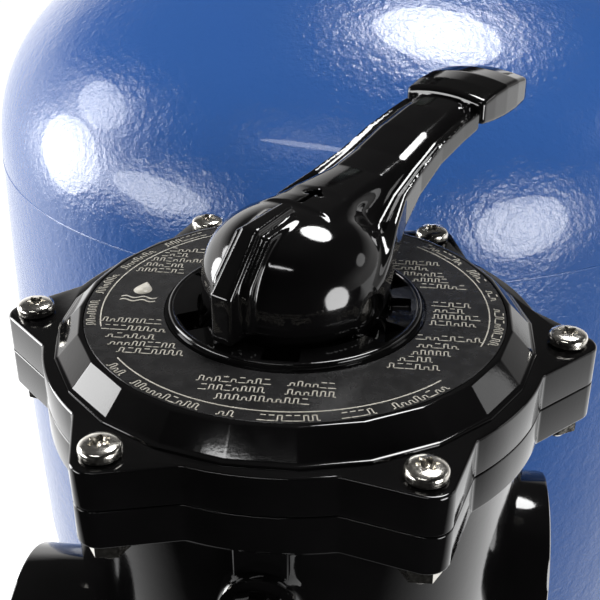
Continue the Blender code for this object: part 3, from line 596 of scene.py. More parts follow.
def flangeSlab(name, low, high, roundTop, roundBottom):
    # the flange as rows of one outline, pulled in along its rounded edges
    outline = [Vector(p) for p in earOutline()]
    count = len(outline)
    normals = []
    for k in range(count):
        ahead = (outline[(k + 1) % count] - outline[k - 1]).normalized()
        normals.append(Vector((ahead.y, -ahead.x)))
    rows = []
    for inset, z in slabRows(low, high, roundTop, roundBottom):
        rows.append([(p - n * inset, z) for p, n in zip(outline, normals)])
    bm = bmesh.new()
    made = [[bm.verts.new((p.x, p.y, z)) for p, z in row] for row in rows]
    for below, above in zip(made, made[1:]):
        for k in range(count):
            n = (k + 1) % count
            bm.faces.new((below[k], below[n], above[n], above[k]))
    bm.faces.new(list(reversed(made[0])))
    bm.faces.new(made[-1])
    return makeObject(name, bm, "gloss")


def slabRows(low, high, roundTop, roundBottom, steps=4):
    rows = []
    for k in range(steps + 1):
        a = math.pi / 2 * k / steps
        rows.append((roundBottom * (1 - math.sin(a)), low + roundBottom * (1 - math.cos(a))))
    for k in range(steps + 1):
        a = math.pi / 2 * k / steps
        rows.append((roundTop * (1 - math.cos(a)), high - roundTop * (1 - math.sin(a))))
    return rows


def boltPoints():
    radius = ears["bolts"]
    return [(axisX + radius * math.cos(math.tau * k / 6), axisY + radius * math.sin(math.tau * k / 6))
            for k in range(6)]


# cover

crown = {
    "facets": 24, "ledge": 0.0764, "foot": 0.0750, "top": 0.0685, "rise": 0.0081, "ledgeRise": 0.0007,
    "recessOuter": 0.0667, "recessInner": 0.0413, "recessFloor": 0.0070,
    "indexRadius": 0.0402, "indexTop": 0.0102, "bowl": 0.0310, "bowlFloor": -0.0020,
    "notchFrom": 0.022, "notchReach": 0.0378, "notchWidth": 0.0112, "notchFloor": -0.0010,
    "parkFloor": 0.0075,
    "screwHole": 0.0034, "shaftHole": 0.0083,
    # the hollow under the crown as (radius, height over the flange's top)
    "hollow": [(0.0165, -0.016), (0.0690, -0.016), (0.0660, 0.0), (0.0470, 0.0015), (0.0400, -0.0090),
               (0.0165, -0.0090)],
}


def crownSolid():
    bm = bmesh.new()
    phase = math.pi / crown["facets"]
    profile = [(0, -0.004), (crown["ledge"], -0.004), (crown["ledge"], crown["ledgeRise"]),
               (crown["foot"] + 0.0002, crown["ledgeRise"] + 0.0002), (crown["top"], crown["rise"]),
               (0, crown["rise"])]
    lathe(bm, profile, crown["facets"], (axisX, axisY, flangeTop), phase)
    solid = makeObject("crown", bm, "gloss")
    bevelAndApply(solid, 0.0005, 2, 8)
    return solid


def indexSolid():
    edge = 0.0009
    bm = bmesh.new()
    profile = [(0, 0.003), (crown["indexRadius"] + 0.0011, 0.003), (crown["indexRadius"] + 0.0011, 0.0074)]
    for k in range(1, 5):                          # soft foot of the disc's rim
        a = math.pi / 2 * k / 4
        profile.append((crown["indexRadius"] + 0.0011 - 0.0011 * math.sin(a),
                        0.0074 + 0.0011 * (1 - math.cos(a))))
    for k in range(6):
        a = math.pi / 2 * k / 5
        profile.append((crown["indexRadius"] - edge * (1 - math.cos(a)),
                        crown["indexTop"] - edge * (1 - math.sin(a))))
    for k in range(1, 5):                          # the face lies a little below the rim
        a = math.pi / 2 * k / 4
        profile.append((crown["indexRadius"] - edge - 0.0008 * math.sin(a),
                        crown["indexTop"] - 0.00035 * (1 - math.cos(a))))
    profile.append((0, crown["indexTop"] - 0.00035))
    lathe(bm, profile, 144, (axisX, axisY, flangeTop))
    return makeObject("indexDisc", bm, "gloss")


def prismBox(name, low, high, angle, edge=0.0):
    # a box about the valve's axis, turned by an angle; low and high are (along, across, up)
    bm = bmesh.new()
    bmesh.ops.create_cube(bm, size=1)
    size = Vector(high) - Vector(low)
    middle = (Vector(high) + Vector(low)) / 2
    matrix = Matrix.Translation((axisX, axisY, flangeTop)) @ Matrix.Rotation(angle, 4, "Z")
    matrix = matrix @ Matrix.Translation(middle)
    bm.transform(matrix @ Matrix.Diagonal((*size, 1)))
    obj = makeObject(name, bm, "gloss")
    if edge:
        bevelAndApply(obj, edge, 3)
    return obj


def makeCover():
    cover = flangeSlab("valveCover", coverLow.z, flangeTop, ears["edge"], 0.0005)
    booleanWith(cover, crownSolid(), "UNION")
    booleanWith(cover, indexSolid(), "UNION")
    centre = (axisX, axisY, flangeTop)
    inner, outer, floor = crown["recessInner"], crown["recessOuter"], crown["recessFloor"]
    recess = [(inner, floor), (outer, floor), (outer, 0.0078), (outer + 0.0006, 0.0105), (inner, 0.0105)]
    radius, floor, top = crown["bowl"], crown["bowlFloor"], crown["indexTop"]
    bowl = [(0, floor), (radius - 0.002, floor), (radius, floor + 0.002), (radius, top - 0.0010),
            (radius + 0.0010, 0.016), (0, 0.016)]
    bm = bmesh.new()
    lathe(bm, recess, 144, centre, closed=True)
    booleanWith(cover, makeObject("recess", bm, "gloss"), "DIFFERENCE")
    bm = bmesh.new()
    lathe(bm, bowl, 120, centre)
    booleanWith(cover, makeObject("bowl", bm, "gloss"), "DIFFERENCE")
    near, far, half = crown["notchFrom"], crown["notchReach"], crown["notchWidth"] / 2
    for k in range(6):
        cut = prismBox("notch", (near, -half, crown["notchFloor"]), (far, half, 0.02),
                       math.radians(30 + 60 * k),
                       0.0008)
        booleanWith(cover, cut, "DIFFERENCE")
    park = prismBox("park", (near, -half * 0.9, crown["parkFloor"]), (far - 0.0012, half * 0.9, 0.02), 0,
                    0.0007)
    booleanWith(cover, park, "DIFFERENCE")
    bm = bmesh.new()
    lathe(bm, crown["hollow"], 72, centre, closed=True)
    booleanWith(cover, makeObject("hollow", bm, "gloss"), "DIFFERENCE")
    drill(cover, crown["shaftHole"], 0.55, 0.65, Matrix.Translation((axisX, axisY, 0)), 48)
    for x, y in boltPoints():
        drill(cover, crown["screwHole"], coverLow.z - 0.01, flangeTop + 0.01, Matrix.Translation((x, y, 0)),
              24)
    smoothShade(cover, 28)
    return place(cover, "filter", "valve_cover")


makeCover()
print("cover made")


# valve body

barrel = {
    "top": 0.0770, "bottom": 0.0670, "bottomZ": 0.315, "flange": 0.0130, "rearEnd": -0.2966,
    "bossZ": 0.5685,
    "bossRadius": 0.0123, "bossFront": 0.0835, "bossEdge": 0.0016, "ribHalf": 0.0078, "ribFront": 0.0796,
    "ribEdge": 0.0012, "inside": 0.06, "stubEdge": 0.0012, "rearStub": 0.032, "rearBore": 0.020,
    "portBore": 0.024,
    "gaugeBore": 0.0067, "seatZ": 0.545, "chamber": (0.0665, 0.0695),
    "passage": [(0, 0.319), (0.058, 0.319), (0.0675, 0.475), (0, 0.475)],
    # the rounded foot as (radius, height over the bottom)
    "foot": [(0, -0.006), (0.035, -0.005), (0.050, -0.002), (0.058, 0.001), (0.064, 0.006)],
}
# each port's reach to the side, offset to the back, height and radius
ports = {
    "left": (-0.0965, -0.017, 0.4857, 0.0330), "right": (0.0895, 0.020, 0.5103, 0.0305),
    "waste": (0.0895, 0.020, 0.4257, 0.0305),
}


def sideways(offset, z, direction):
    return Matrix.Translation((axisX, axisY + offset, z)) @ Matrix.Rotation(direction * math.pi / 2, 4, "Y")


def barrelRows(flangeLow):
    bottom, top = barrel["bottomZ"], barrel["top"]
    rows = [(r, bottom + z) for r, z in barrel["foot"]] + [(barrel["bottom"], bottom + 0.014)]
    rows += [(top - 0.0002, flangeLow - 0.003), (top + 0.0006, flangeLow - 0.0008)]
    return rows + [(top + 0.002, flangeLow + 0.001), (top + 0.002, flangeLow + 0.004),
                   (0, flangeLow + 0.004)]


def makeRib(low, high):
    # the upright rib between the boss and the flange
    front, back = barrel["ribFront"], barrel["inside"]
    bm = bmesh.new()
    bmesh.ops.create_cube(bm, size=1)
    size = (2 * barrel["ribHalf"], front - back, high - low, 1)
    bm.transform(Matrix.Translation((axisX, axisY - (front + back) / 2, (low + high) / 2))
                 @ Matrix.Diagonal(size))
    rib = makeObject("rib", bm, "gloss")
    bevelAndApply(rib, barrel["ribEdge"], 3)
    return rib


def makeBody():
    flangeLow = coverLow.z - barrel["flange"]
    body = flangeSlab("valveBody", flangeLow, seamZ, 0.0004, 0.0011)
    bm = bmesh.new()
    lathe(bm, barrelRows(flangeLow), 144, (axisX, axisY, 0))
    booleanWith(body, makeObject("barrel", bm, "gloss"), "UNION")
    for reach, offset, z, radius in ports.values():
        addBar(body, radius, 0.03, abs(reach), sideways(offset, z, math.copysign(1, reach)), 96,
               barrel["stubEdge"])
    rear = []
    for node in ("union_oring_upper", "union_oring_lower"):
        low, high = boxOf(node)
        middle = Matrix.Translation((axisX, axisY, (low.z + high.z) / 2))
        rear.append(middle @ Matrix.Rotation(-math.pi / 2, 4, "X"))
        addBar(body, barrel["rearStub"], 0.05, barrel["rearEnd"] - axisY, rear[-1], 64, 0.0005)
    front = Matrix.Translation((axisX, axisY, barrel["bossZ"])) @ Matrix.Rotation(math.pi / 2, 4, "X")
    addBar(body, barrel["bossRadius"], barrel["inside"], barrel["bossFront"], front, 64, barrel["bossEdge"])
    booleanWith(body, makeRib(barrel["bossZ"], flangeLow + 0.002), "UNION")
    hollowBody(body, rear, front)
    return smoothShade(body, 30)


def hollowBody(body, rear, front):
    seat, (low, high) = barrel["seatZ"], barrel["chamber"]
    bm = bmesh.new()
    lathe(bm, [(0, seat), (low, seat), (high, seamZ + 0.002), (0, seamZ + 0.002)], 96, (axisX, axisY, 0))
    booleanWith(body, makeObject("chamber", bm, "gloss"), "DIFFERENCE")
    bm = bmesh.new()
    lathe(bm, barrel["passage"], 72, (axisX, axisY, 0))
    booleanWith(body, makeObject("passage", bm, "gloss"), "DIFFERENCE")
    for reach, offset, z, _ in ports.values():
        aside = sideways(offset, z, math.copysign(1, reach))
        drill(body, barrel["portBore"], 0.045, abs(reach) + 0.01, aside, 72)
    for matrix in rear:
        drill(body, barrel["rearBore"], 0.045, 0.12, matrix, 48)
    drill(body, barrel["gaugeBore"], barrel["inside"], 0.095, front, 32)
    for x, y in boltPoints():
        drill(body, crown["screwHole"], coverLow.z - 0.05, seamZ + 0.01, Matrix.Translation((x, y, 0)), 24)


place(makeBody(), "filter", "valve_body")
print("valve body made")


# geometry nodes for what repeats

def repeatTree(name, inputs):
    tree = bpy.data.node_groups.new(name, "GeometryNodeTree")
    tree.interface.new_socket("Geometry", in_out="INPUT", socket_type="NodeSocketGeometry")
    sockets = {}
    for label, (kind, value) in inputs.items():
        made = tree.interface.new_socket(label, in_out="INPUT", socket_type=kind)
        made.default_value = value
        sockets[label] = made.identifier
    tree.interface.new_socket("Geometry", in_out="OUTPUT", socket_type="NodeSocketGeometry")
    entry = tree.nodes.new("NodeGroupInput")
    leave = tree.nodes.new("NodeGroupOutput")
    return tree, sockets, entry, leave


def ringOfScrewsTree():
    # instances of the incoming mesh on a ring, each given its own turn
    tree, sockets, entry, leave = repeatTree("ringOfScrews", {
        "Radius": ("NodeSocketFloat", ears["bolts"]), "Count": ("NodeSocketInt", 6),
        "Height": ("NodeSocketFloat", 0.0),
        "Turn": ("NodeSocketFloat", 1.0), "Seed": ("NodeSocketInt", 4),
        "Finish": ("NodeSocketMaterial", None)})
    circle = tree.nodes.new("GeometryNodeMeshCircle")
    tree.links.new(entry.outputs["Count"], circle.inputs["Vertices"])
    tree.links.new(entry.outputs["Radius"], circle.inputs["Radius"])
    move = tree.nodes.new("GeometryNodeTransform")
    offset = tree.nodes.new("ShaderNodeCombineXYZ")
    offset.inputs["X"].default_value = axisX
    offset.inputs["Y"].default_value = axisY
    tree.links.new(entry.outputs["Height"], offset.inputs["Z"])
    tree.links.new(circle.outputs["Mesh"], move.inputs["Geometry"])
    tree.links.new(offset.outputs["Vector"], move.inputs["Translation"])
    spin = tree.nodes.new("FunctionNodeRandomValue")
    spin.data_type = "FLOAT"
    tree.links.new(entry.outputs["Turn"], spin.inputs[3])
    tree.links.new(entry.outputs["Seed"], spin.inputs["Seed"])
    turn = tree.nodes.new("ShaderNodeCombineXYZ")
    tree.links.new(spin.outputs[1], turn.inputs["Z"])
    instance = tree.nodes.new("GeometryNodeInstanceOnPoints")
    tree.links.new(move.outputs["Geometry"], instance.inputs["Points"])
    tree.links.new(entry.outputs["Geometry"], instance.inputs["Instance"])
    tree.links.new(turn.outputs["Vector"], instance.inputs["Rotation"])
    finishTree(tree, instance.outputs["Instances"], entry, leave)
    return tree, sockets


def finishTree(tree, geometry, entry, leave):
    realize = tree.nodes.new("GeometryNodeRealizeInstances")
    paint = tree.nodes.new("GeometryNodeSetMaterial")
    tree.links.new(geometry, realize.inputs["Geometry"])
    tree.links.new(realize.outputs["Geometry"], paint.inputs["Geometry"])
    tree.links.new(entry.outputs["Finish"], paint.inputs["Material"])
    tree.links.new(paint.outputs["Geometry"], leave.inputs["Geometry"])


def runTree(obj, tree, sockets, values, angle=32):
    modifier = obj.modifiers.new("repeat", "NODES")
    modifier.node_group = tree
    for label, value in values.items():
        modifier[sockets[label]] = value
    bpy.context.view_layer.update()
    applyModifiers(obj)
    return smoothShade(obj, angle)


screws = {
    "head": 0.0061, "wall": 0.0021, "height": 0.0043, "gap": 0.0003, "shank": 0.0030, "tip": 0.0340,
    "star": 0.0033, "starInner": 0.0018, "points": 6, "depth": 0.0021,
    "nutFlats": 0.0055, "nutHigh": 0.0055, "nutBore": 0.0032,
}


def screwHead():
    # a pan head on its shank, with a six-pointed recess
    bm = bmesh.new()
    profile = [(0, -screws["tip"]), (screws["shank"] - 0.0006, -screws["tip"]),
               (screws["shank"], -screws["tip"] + 0.0008),
               (screws["shank"], screws["gap"]), (screws["head"] - 0.0004, screws["gap"]),
               (screws["head"], screws["gap"] + 0.0004)]
    profile.append((screws["head"], screws["wall"]))
    for k in range(1, 9):
        a = math.pi / 2 * k / 8
        profile.append((screws["head"] * (1 - 0.22 * (1 - math.cos(a)) - 0.78 * (k / 8) ** 3),
                        screws["wall"] + (screws["height"] - screws["wall"]) * math.sin(a)))
    profile[-1] = (0, screws["height"])
    lathe(bm, profile, 56)
    screw = makeObject("coverScrews", bm, "stainless")
    bm = bmesh.new()
    rows = []
    for z, scale in ((screws["height"] + 0.001, 1.12), (screws["height"] - screws["depth"] * 0.55, 0.92),
                     (screws["height"] - screws["depth"], 0.6)):
        row = []
        for k in range(screws["points"] * 4):
            a = math.tau * k / (screws["points"] * 4)
            wave = (0.5 + 0.5 * math.cos(a * screws["points"])) ** 0.8
            r = (screws["starInner"] + (screws["star"] - screws["starInner"]) * wave) * scale
            row.append(bm.verts.new((r * math.cos(a), r * math.sin(a), z)))
        rows.append(row)
    bm.faces.new(rows[0])
    bm.faces.new(list(reversed(rows[-1])))
    for above, below in zip(rows, rows[1:]):
        for k in range(len(above)):
            n = (k + 1) % len(above)
            bm.faces.new((above[n], above[k], below[k], below[n]))
    bmesh.ops.recalc_face_normals(bm, faces=bm.faces)
    booleanWith(screw, makeObject("star", bm, "stainless"), "DIFFERENCE")
    return screw


def hexNut():
    bm = bmesh.new()
    corner = screws["nutFlats"] / math.cos(math.pi / 6)
    lathe(bm, [(0, 0), (corner - 0.0006, 0), (corner, 0.0005), (corner, screws["nutHigh"] - 0.0005),
               (corner - 0.0006, screws["nutHigh"]), (0, screws["nutHigh"])], 6)
    nut = makeObject("coverNuts", bm, "stainless")
    drill(nut, screws["nutBore"], -0.01, 0.02, Matrix.Identity(4), 24)
    return nut


screwTree, screwSockets = ringOfScrewsTree()
screwRing = runTree(screwHead(), screwTree, screwSockets,
                    {"Height": flangeTop, "Turn": 1.05, "Seed": 4, "Finish": finishes["stainless"]})
place(screwRing, "filter", *[f"cover_screw_{k}" for k in range(1, 7)], slot="stainless")
nutRing = runTree(hexNut(), screwTree, screwSockets,
                  {"Height": boxOf("cover_nut_1")[0].z, "Turn": 1.0, "Seed": 9,
                   "Finish": finishes["stainless"]})
place(nutRing, "filter", *[f"cover_nut_{k}" for k in range(1, 7)], slot="stainless")
print("screws and nuts made")


# handle, shaped as a distance field and then meshed

lever = {
    "angle": 60.0, "pinRise": 14.8, "cell": 0.72,
    "along":  (-4.0, 6.0, 14.0, 22.0, 34.0, 47.0, 62.0, 77.0, 90.0),
    "top":    (41.0, 42.6, 43.4, 43.6, 43.9, 46.0, 50.4, 53.4, 54.9),
    "bottom": (13.0, 15.0, 18.5, 21.5, 27.0, 33.5, 39.6, 43.0, 45.4),
    "crown":  (13.0, 12.6, 12.2, 11.6, 10.9, 10.6, 10.4, 10.3, 10.3),
    "wall":   (29.0, 28.6, 26.6, 23.4, 19.0, 16.6, 15.5, 15.2, 15.2),
    "rail":   (20.0, 25.0, 29.5, 34.5, 39.2, 43.2, 48.0, 50.9, 52.3),
    "blend":  (9.0, 8.5, 8.0, 6.8, 5.2, 3.8, 2.8, 2.2, 2.0),
    "noseSide": ((-36.3, 10.4), (-4.0, 10.4), (-4.0, 44.2), (-22.0, 42.6), (-36.3, 26.0)),
    "padAlong": (86.0, 89.0, 97.0, 106.0, 116.0, 124.0, 131.5),
    "padTop":   (55.6, 57.0, 58.6, 59.2, 58.6, 57.2, 54.6),
    "padWide":  (15.6, 16.0, 16.3, 16.2, 15.6, 14.6, 12.6),
    "hub": 29.5, "hubRise": 24.6, "hubBase": 17.5, "hubPower": 2.25, "neck": 26.8, "boss": 7.8,
    "bossReach": 28.4,
    "pinHole": 4.36, "arrowPoint": (13.8, 0.0), "arrowBarb": ((9.6, 3.6), (8.6, 2.4), (11.0, 0.0)),
}


def softMin(a, b, reach):
    h = np.maximum(reach - np.abs(a - b), 0) / reach
    return np.minimum(a, b) - h * h * reach / 4


def softMax(a, b, reach):
    return -softMin(-a, -b, reach)


def boxField(x, y, halfX, halfY, edge):
    dx, dy = np.abs(x) - halfX + edge, np.abs(y) - halfY + edge
    return np.hypot(np.maximum(dx, 0), np.maximum(dy, 0)) + np.minimum(np.maximum(dx, dy), 0) - edge


def polygonField(x, y, corners):
    # signed distance to a convex polygon given anticlockwise
    field = np.full_like(x, -1e9)
    for (x0, y0), (x1, y1) in zip(corners, corners[1:] + corners[:1]):
        length = math.hypot(x1 - x0, y1 - y0)
        field = np.maximum(field, ((x - x0) * (y1 - y0) - (y - y0) * (x1 - x0)) / length)
    return field


def hubField(u, v, z):
    r = np.hypot(u, v)
    neck = np.maximum(r - lever["neck"], np.maximum(0.8 - z, z - 15))
    n = lever["hubPower"]
    above = np.maximum(z - lever["hubBase"], 0)
    dome = (((r / lever["hub"]) ** n + (above / lever["hubRise"]) ** n) ** (1 / n) - 1) * 27
    skirt = np.maximum(dome, 11.2 - z + np.maximum(r - 27.2, 0) * 0.75)
    return softMin(neck, skirt, 0.6)


def leverField(u, v, z):
    def at(key):
        return np.interp(u, lever["along"], lever[key])

    top, bottom, rail, wide = at("top"), at("bottom"), at("rail"), at("wall")
    side = np.abs(v)
    crownLow = np.minimum(top - 8, bottom + 4)
    crowned = top - 0.010 * v * v                      # the top is slightly arched across
    crown = boxField(v, z - (crowned + crownLow) / 2, at("crown"), (crowned - crownLow) / 2, 3.4)
    walls = boxField(v, z - (rail + bottom) / 2, wide, (rail - bottom) / 2, 1.3)
    groove = np.hypot(side - (at("crown") + wide) / 2 + 0.25, z - rail - 0.7)
    groove = groove - np.clip((wide - at("crown")) / 2 - 0.75, 0.2, 2.0)
    walls = softMax(walls, -groove, 1.8)
    both = softMin(crown, walls, at("blend"))
    return np.maximum(both, np.maximum(2.0 - u, u - 87.6))


def gripField(u, v, z):
    top = np.interp(u, lever["padAlong"], lever["padTop"]) - 0.0085 * v * v
    wide = np.interp(u, lever["padAlong"], lever["padWide"])
    bottom = 45.4 + 0.012 * (u - 110) ** 2 / 4
    pad = boxField(v, z - (top + bottom) / 2, wide, (top - bottom) / 2, 1.5)
    ends = softMax(88.7 - u, u - 131.3 + 0.018 * v * v, 1.0)
    pad = softMax(pad, ends, 2.2)
    spine = boxField(v, z - 49.6, 10.6, 3.6, 1.5)      # what joins it to the lever inside the groove
    spine = np.maximum(spine, np.maximum(84 - u, u - 96))
    return softMin(pad, spine, 0.8)


def noseField(u, v, z):
    half = np.interp(u, (-36, -22, -6), (4.0, 3.3, 2.7))
    side = polygonField(u, z, list(lever["noseSide"]))
    ridge = softMax(side, np.abs(v) - half, 1.5)
    band = softMax(side + 2.4, np.abs(v) - half - 3.4, 1.7)     # wider and lower along the ridge
    return softMin(ridge, softMax(band, np.hypot(u, v) - 32.2, 1.4), 1.2)


def handleField(points):
    u, v, z = points[..., 0], points[..., 1], points[..., 2]
    field = softMin(hubField(u, v, z), leverField(u, v, z), 3.2)
    field = softMin(field, gripField(u, v, z), 0.5)
    field = softMin(field, noseField(u, v, z), 1.1)
    across = np.hypot(u, z - lever["pinRise"])
    boss = softMax(across - lever["boss"], np.abs(v) - lever["bossReach"], 1.0)
    field = softMin(field, boss, 1.0)
    field = softMax(field, -softMax(across - 5.9, 26.5 - np.abs(v), 0.4), 0.5)
    field = softMax(field, -(across - lever["pinHole"]), 0.3)
    pocket = np.maximum(boxField(u, v, 12.5, 8.8, 1.0), z - 26)
    field = np.maximum(field, -pocket)
    shaft = boxField(v, u - 7.6, 0.85, 5.6, 0.8)       # the arrow sunk into the top
    corners = [lever["arrowPoint"], *lever["arrowBarb"]]
    head = polygonField(u, v, corners)
    headToo = polygonField(u, -v, corners)
    arrow = np.minimum(shaft, np.minimum(head, headToo))
    return softMax(field, -np.maximum(arrow, 40.4 - z), 0.5)


def netsMesh(fieldAt, low, high, cell):
    # surface nets: one vertex in each cell that the surface crosses
    counts = [int(math.ceil((b - a) / cell)) + 1 for a, b in zip(low, high)]
    axes = [low[k] + cell * np.arange(counts[k]) for k in range(3)]
    grid = np.stack(np.meshgrid(*axes, indexing="ij"), axis=-1)
    inside = fieldAt(grid) < 0
    corners = [inside[i:counts[0] - 1 + i, j:counts[1] - 1 + j, k:counts[2] - 1 + k]
               for i in (0, 1) for j in (0, 1) for k in (0, 1)]
    total = sum(corner.astype(int) for corner in corners)
    mixed = (total > 0) & (total < 8)
    number = np.full(mixed.shape, -1)
    number[mixed] = np.arange(mixed.sum())
    verts = np.argwhere(mixed) * cell + np.array(low) + cell / 2
    quads = []
    for axis in range(3):
        lowSide = [slice(1, counts[k] - 1) for k in range(3)]
        highSide = list(lowSide)
        lowSide[axis] = slice(0, counts[axis] - 1)
        highSide[axis] = slice(1, counts[axis])
        here, there = inside[tuple(lowSide)], inside[tuple(highSide)]
        p, q = [k for k in range(3) if k != axis]
        for leaving in (True, False):
            spots = np.argwhere((here & ~there) if leaving else (~here & there))
            base = spots.copy()
            base[:, p] += 1
            base[:, q] += 1
            ring = []
            for dp, dq in ((-1, -1), (0, -1), (0, 0), (-1, 0)):
                cellAt = base.copy()
                cellAt[:, p] += dp
                cellAt[:, q] += dq
                ring.append(number[cellAt[:, 0], cellAt[:, 1], cellAt[:, 2]])
            ring = np.stack(ring, axis=1)
            if leaving == (axis == 1):
                ring = ring[:, ::-1]
            quads.append(ring)
    return verts, np.concatenate(quads)


def slopeOf(fieldAt, points, step=0.05):
    slopes = []
    for axis in range(3):
        shift = np.zeros(3)
        shift[axis] = step
        slopes.append((fieldAt(points + shift) - fieldAt(points - shift)) / (2 * step))
    return np.stack(slopes, axis=-1)


def settle(fieldAt, verts, quads, rounds=5):
    # even the net out, then pull it back onto the true surface
    count = len(verts)
    edges = np.concatenate([quads[:, [a, (a + 1) % 4]] for a in range(4)])
    edges = np.unique(np.sort(edges, axis=1), axis=0)
    degree = np.bincount(edges.ravel(), minlength=count)[:, None]
    for turn in range(rounds):
        if turn < rounds - 1:
            pulled = np.zeros_like(verts)
            for axis in range(3):
                pulled[:, axis] = (np.bincount(edges[:, 0], verts[edges[:, 1], axis], count)
                                   + np.bincount(edges[:, 1], verts[edges[:, 0], axis], count))
            verts = verts + 0.5 * (pulled / degree - verts)
        for _ in range(2):
            slope = slopeOf(fieldAt, verts)
            size = np.maximum((slope ** 2).sum(axis=1, keepdims=True), 0.2)
            step = -fieldAt(verts)[:, None] * slope / size
            verts = verts + np.clip(step, -0.7, 0.7)
    return verts


def makeHandle():
    low, high = (-39.0, -31.0, -0.5), (134.0, 31.0, 62.0)
    verts, quads = netsMesh(handleField, low, high, lever["cell"])
    verts = settle(handleField, verts, quads)
    mesh = bpy.data.meshes.new("leverHandle")
    mesh.vertices.add(len(verts))
    mesh.loops.add(quads.size)
    mesh.polygons.add(len(quads))
    turn = math.radians(lever["angle"])
    x = verts[:, 0] * math.cos(turn) - verts[:, 1] * math.sin(turn)
    y = verts[:, 0] * math.sin(turn) + verts[:, 1] * math.cos(turn)
    world = np.stack([axisX + x / 1000, axisY + y / 1000, flangeTop + verts[:, 2] / 1000], axis=1)
    mesh.vertices.foreach_set("co", world.ravel())
    mesh.loops.foreach_set("vertex_index", quads.ravel())
    mesh.polygons.foreach_set("loop_start", np.arange(0, quads.size, 4))
    mesh.update(calc_edges=True)
    mesh.validate()
    mesh.materials.append(finishes["gloss"])
    obj = bpy.data.objects.new("leverHandle", mesh)
    bpy.context.scene.collection.objects.link(obj)
    smoothShade(obj, 38)
    print("handle net", len(verts), "vertices", len(quads), "faces")
    return place(obj, "handle_lever", "handle")


makeHandle()


# label ring and its printed marks

label = {
    "inner": 0.0416, "outer": 0.0664, "top": 0.0081, "thick": 0.0008, "mark": 0.00005, "pitch": 0.00235,
    "high": 0.0026, "pen": 0.00036, "seed": 12,
    # rows of marks in millimetres from the axis: start, end, height on the plate
    "rows": (
        (-48.5, -31.0, 36.0), (-50.2, -41.5, 31.9), (-53.0, -34.5, 27.8), (-54.4, -41.3, 23.4),
        (-56.2, -40.2, 19.2),
        (-58.6, -39.6, -16.2), (-57.0, -37.2, -20.9), (-54.4, -39.5, -25.6), (-52.4, -32.2, -30.0),
        (-48.8, -29.0, -34.0),
        (-22.2, -1.2, -46.6), (3.8, 17.0, -46.6), (-20.8, -2.4, -51.0), (3.6, 17.4, -51.0),
        (-15.6, 10.5, -55.4),
        (38.7, 58.2, -16.2), (39.1, 51.3, -20.9), (37.6, 48.8, -25.3), (33.8, 43.7, -29.3),
        (30.8, 45.8, -33.6),
        (43.2, 55.4, 5.6), (43.8, 53.2, 1.6), (43.4, 58.1, -2.6), (42.7, 56.7, -6.8),
        (28.8, 45.4, 35.0), (30.0, 41.6, 31.0), (33.3, 46.8, 26.6), (36.7, 48.3, 22.4),
        (39.3, 54.2, 18.2),
    ),
    "arcs": ((127, 200), (219, 319), (-19, 52)), "arcRadius": 0.0612, "arcPen": 0.00042,
    # marks along the rim: from and to, in degrees
    "rim": ((221, 228), (232, 254), (258, 264), (268, 284), (288, 297), (301, 319), (-17, 4), (9, 17),
            (21, 31), (34, 51), (128, 144), (148, 163), (167, 181), (184, 199)),
    "dropAt": (-0.0507, 0.0045), "rimRadius": 0.0642,
}


def makeLabelRing():
    bm = bmesh.new()
    top, thick = label["top"], label["thick"]
    lathe(bm, [(label["inner"], top - thick), (label["outer"], top - thick), (label["outer"], top - 0.0001),
               (label["outer"] - 0.0001, top), (label["inner"] + 0.0001, top),
               (label["inner"], top - 0.0001)],
          160, (axisX, axisY, flangeTop), closed=True)
    return place(makeObject("labelRing", bm, "label"), "filter", "label_plate", slot="label")


def pickMarks():
    # where each small mark goes, sorted by its form
    draw = random.Random(label["seed"])
    spots = {"tall": [], "low": [], "rest": []}

    def add(x, y, turn):
        spots[draw.choice(("tall", "tall", "low", "rest"))].append((x, y, turn))

    for start, end, height in label["rows"]:
        count = max(2, round((end - start) / 1000 / label["pitch"]))
        for k in range(count):
            add(start / 1000 + (k + 0.5) * (end - start) / 1000 / count, height / 1000, 0.0)
    radius = label["rimRadius"]
    step = math.degrees(label["pitch"] / radius)
    for start, end in label["rim"]:
        for k in range(int((end - start) / step)):
            angle = start + (k + 0.5) * step
            a = math.radians(angle)
            facing = math.pi / 2 if angle > 219 else -math.pi / 2      # the lower run reads from outside
            add(radius * math.cos(a), radius * math.sin(a), a + facing)
    return spots


def strokeMesh(strokes):
    bm = bmesh.new()
    for x0, y0, x1, y1 in strokes:
        along = Vector((x1 - x0, y1 - y0, 0))
        matrix = (Matrix.Translation(((x0 + x1) / 2, (y0 + y1) / 2, 0))
                  @ Matrix.Rotation(math.atan2(along.y, along.x), 4, "Z")
                  @ Matrix.Diagonal((along.length + label["pen"], label["pen"], 2 * label["mark"], 1)))
        bmesh.ops.create_cube(bm, size=1, matrix=matrix)
    return bm


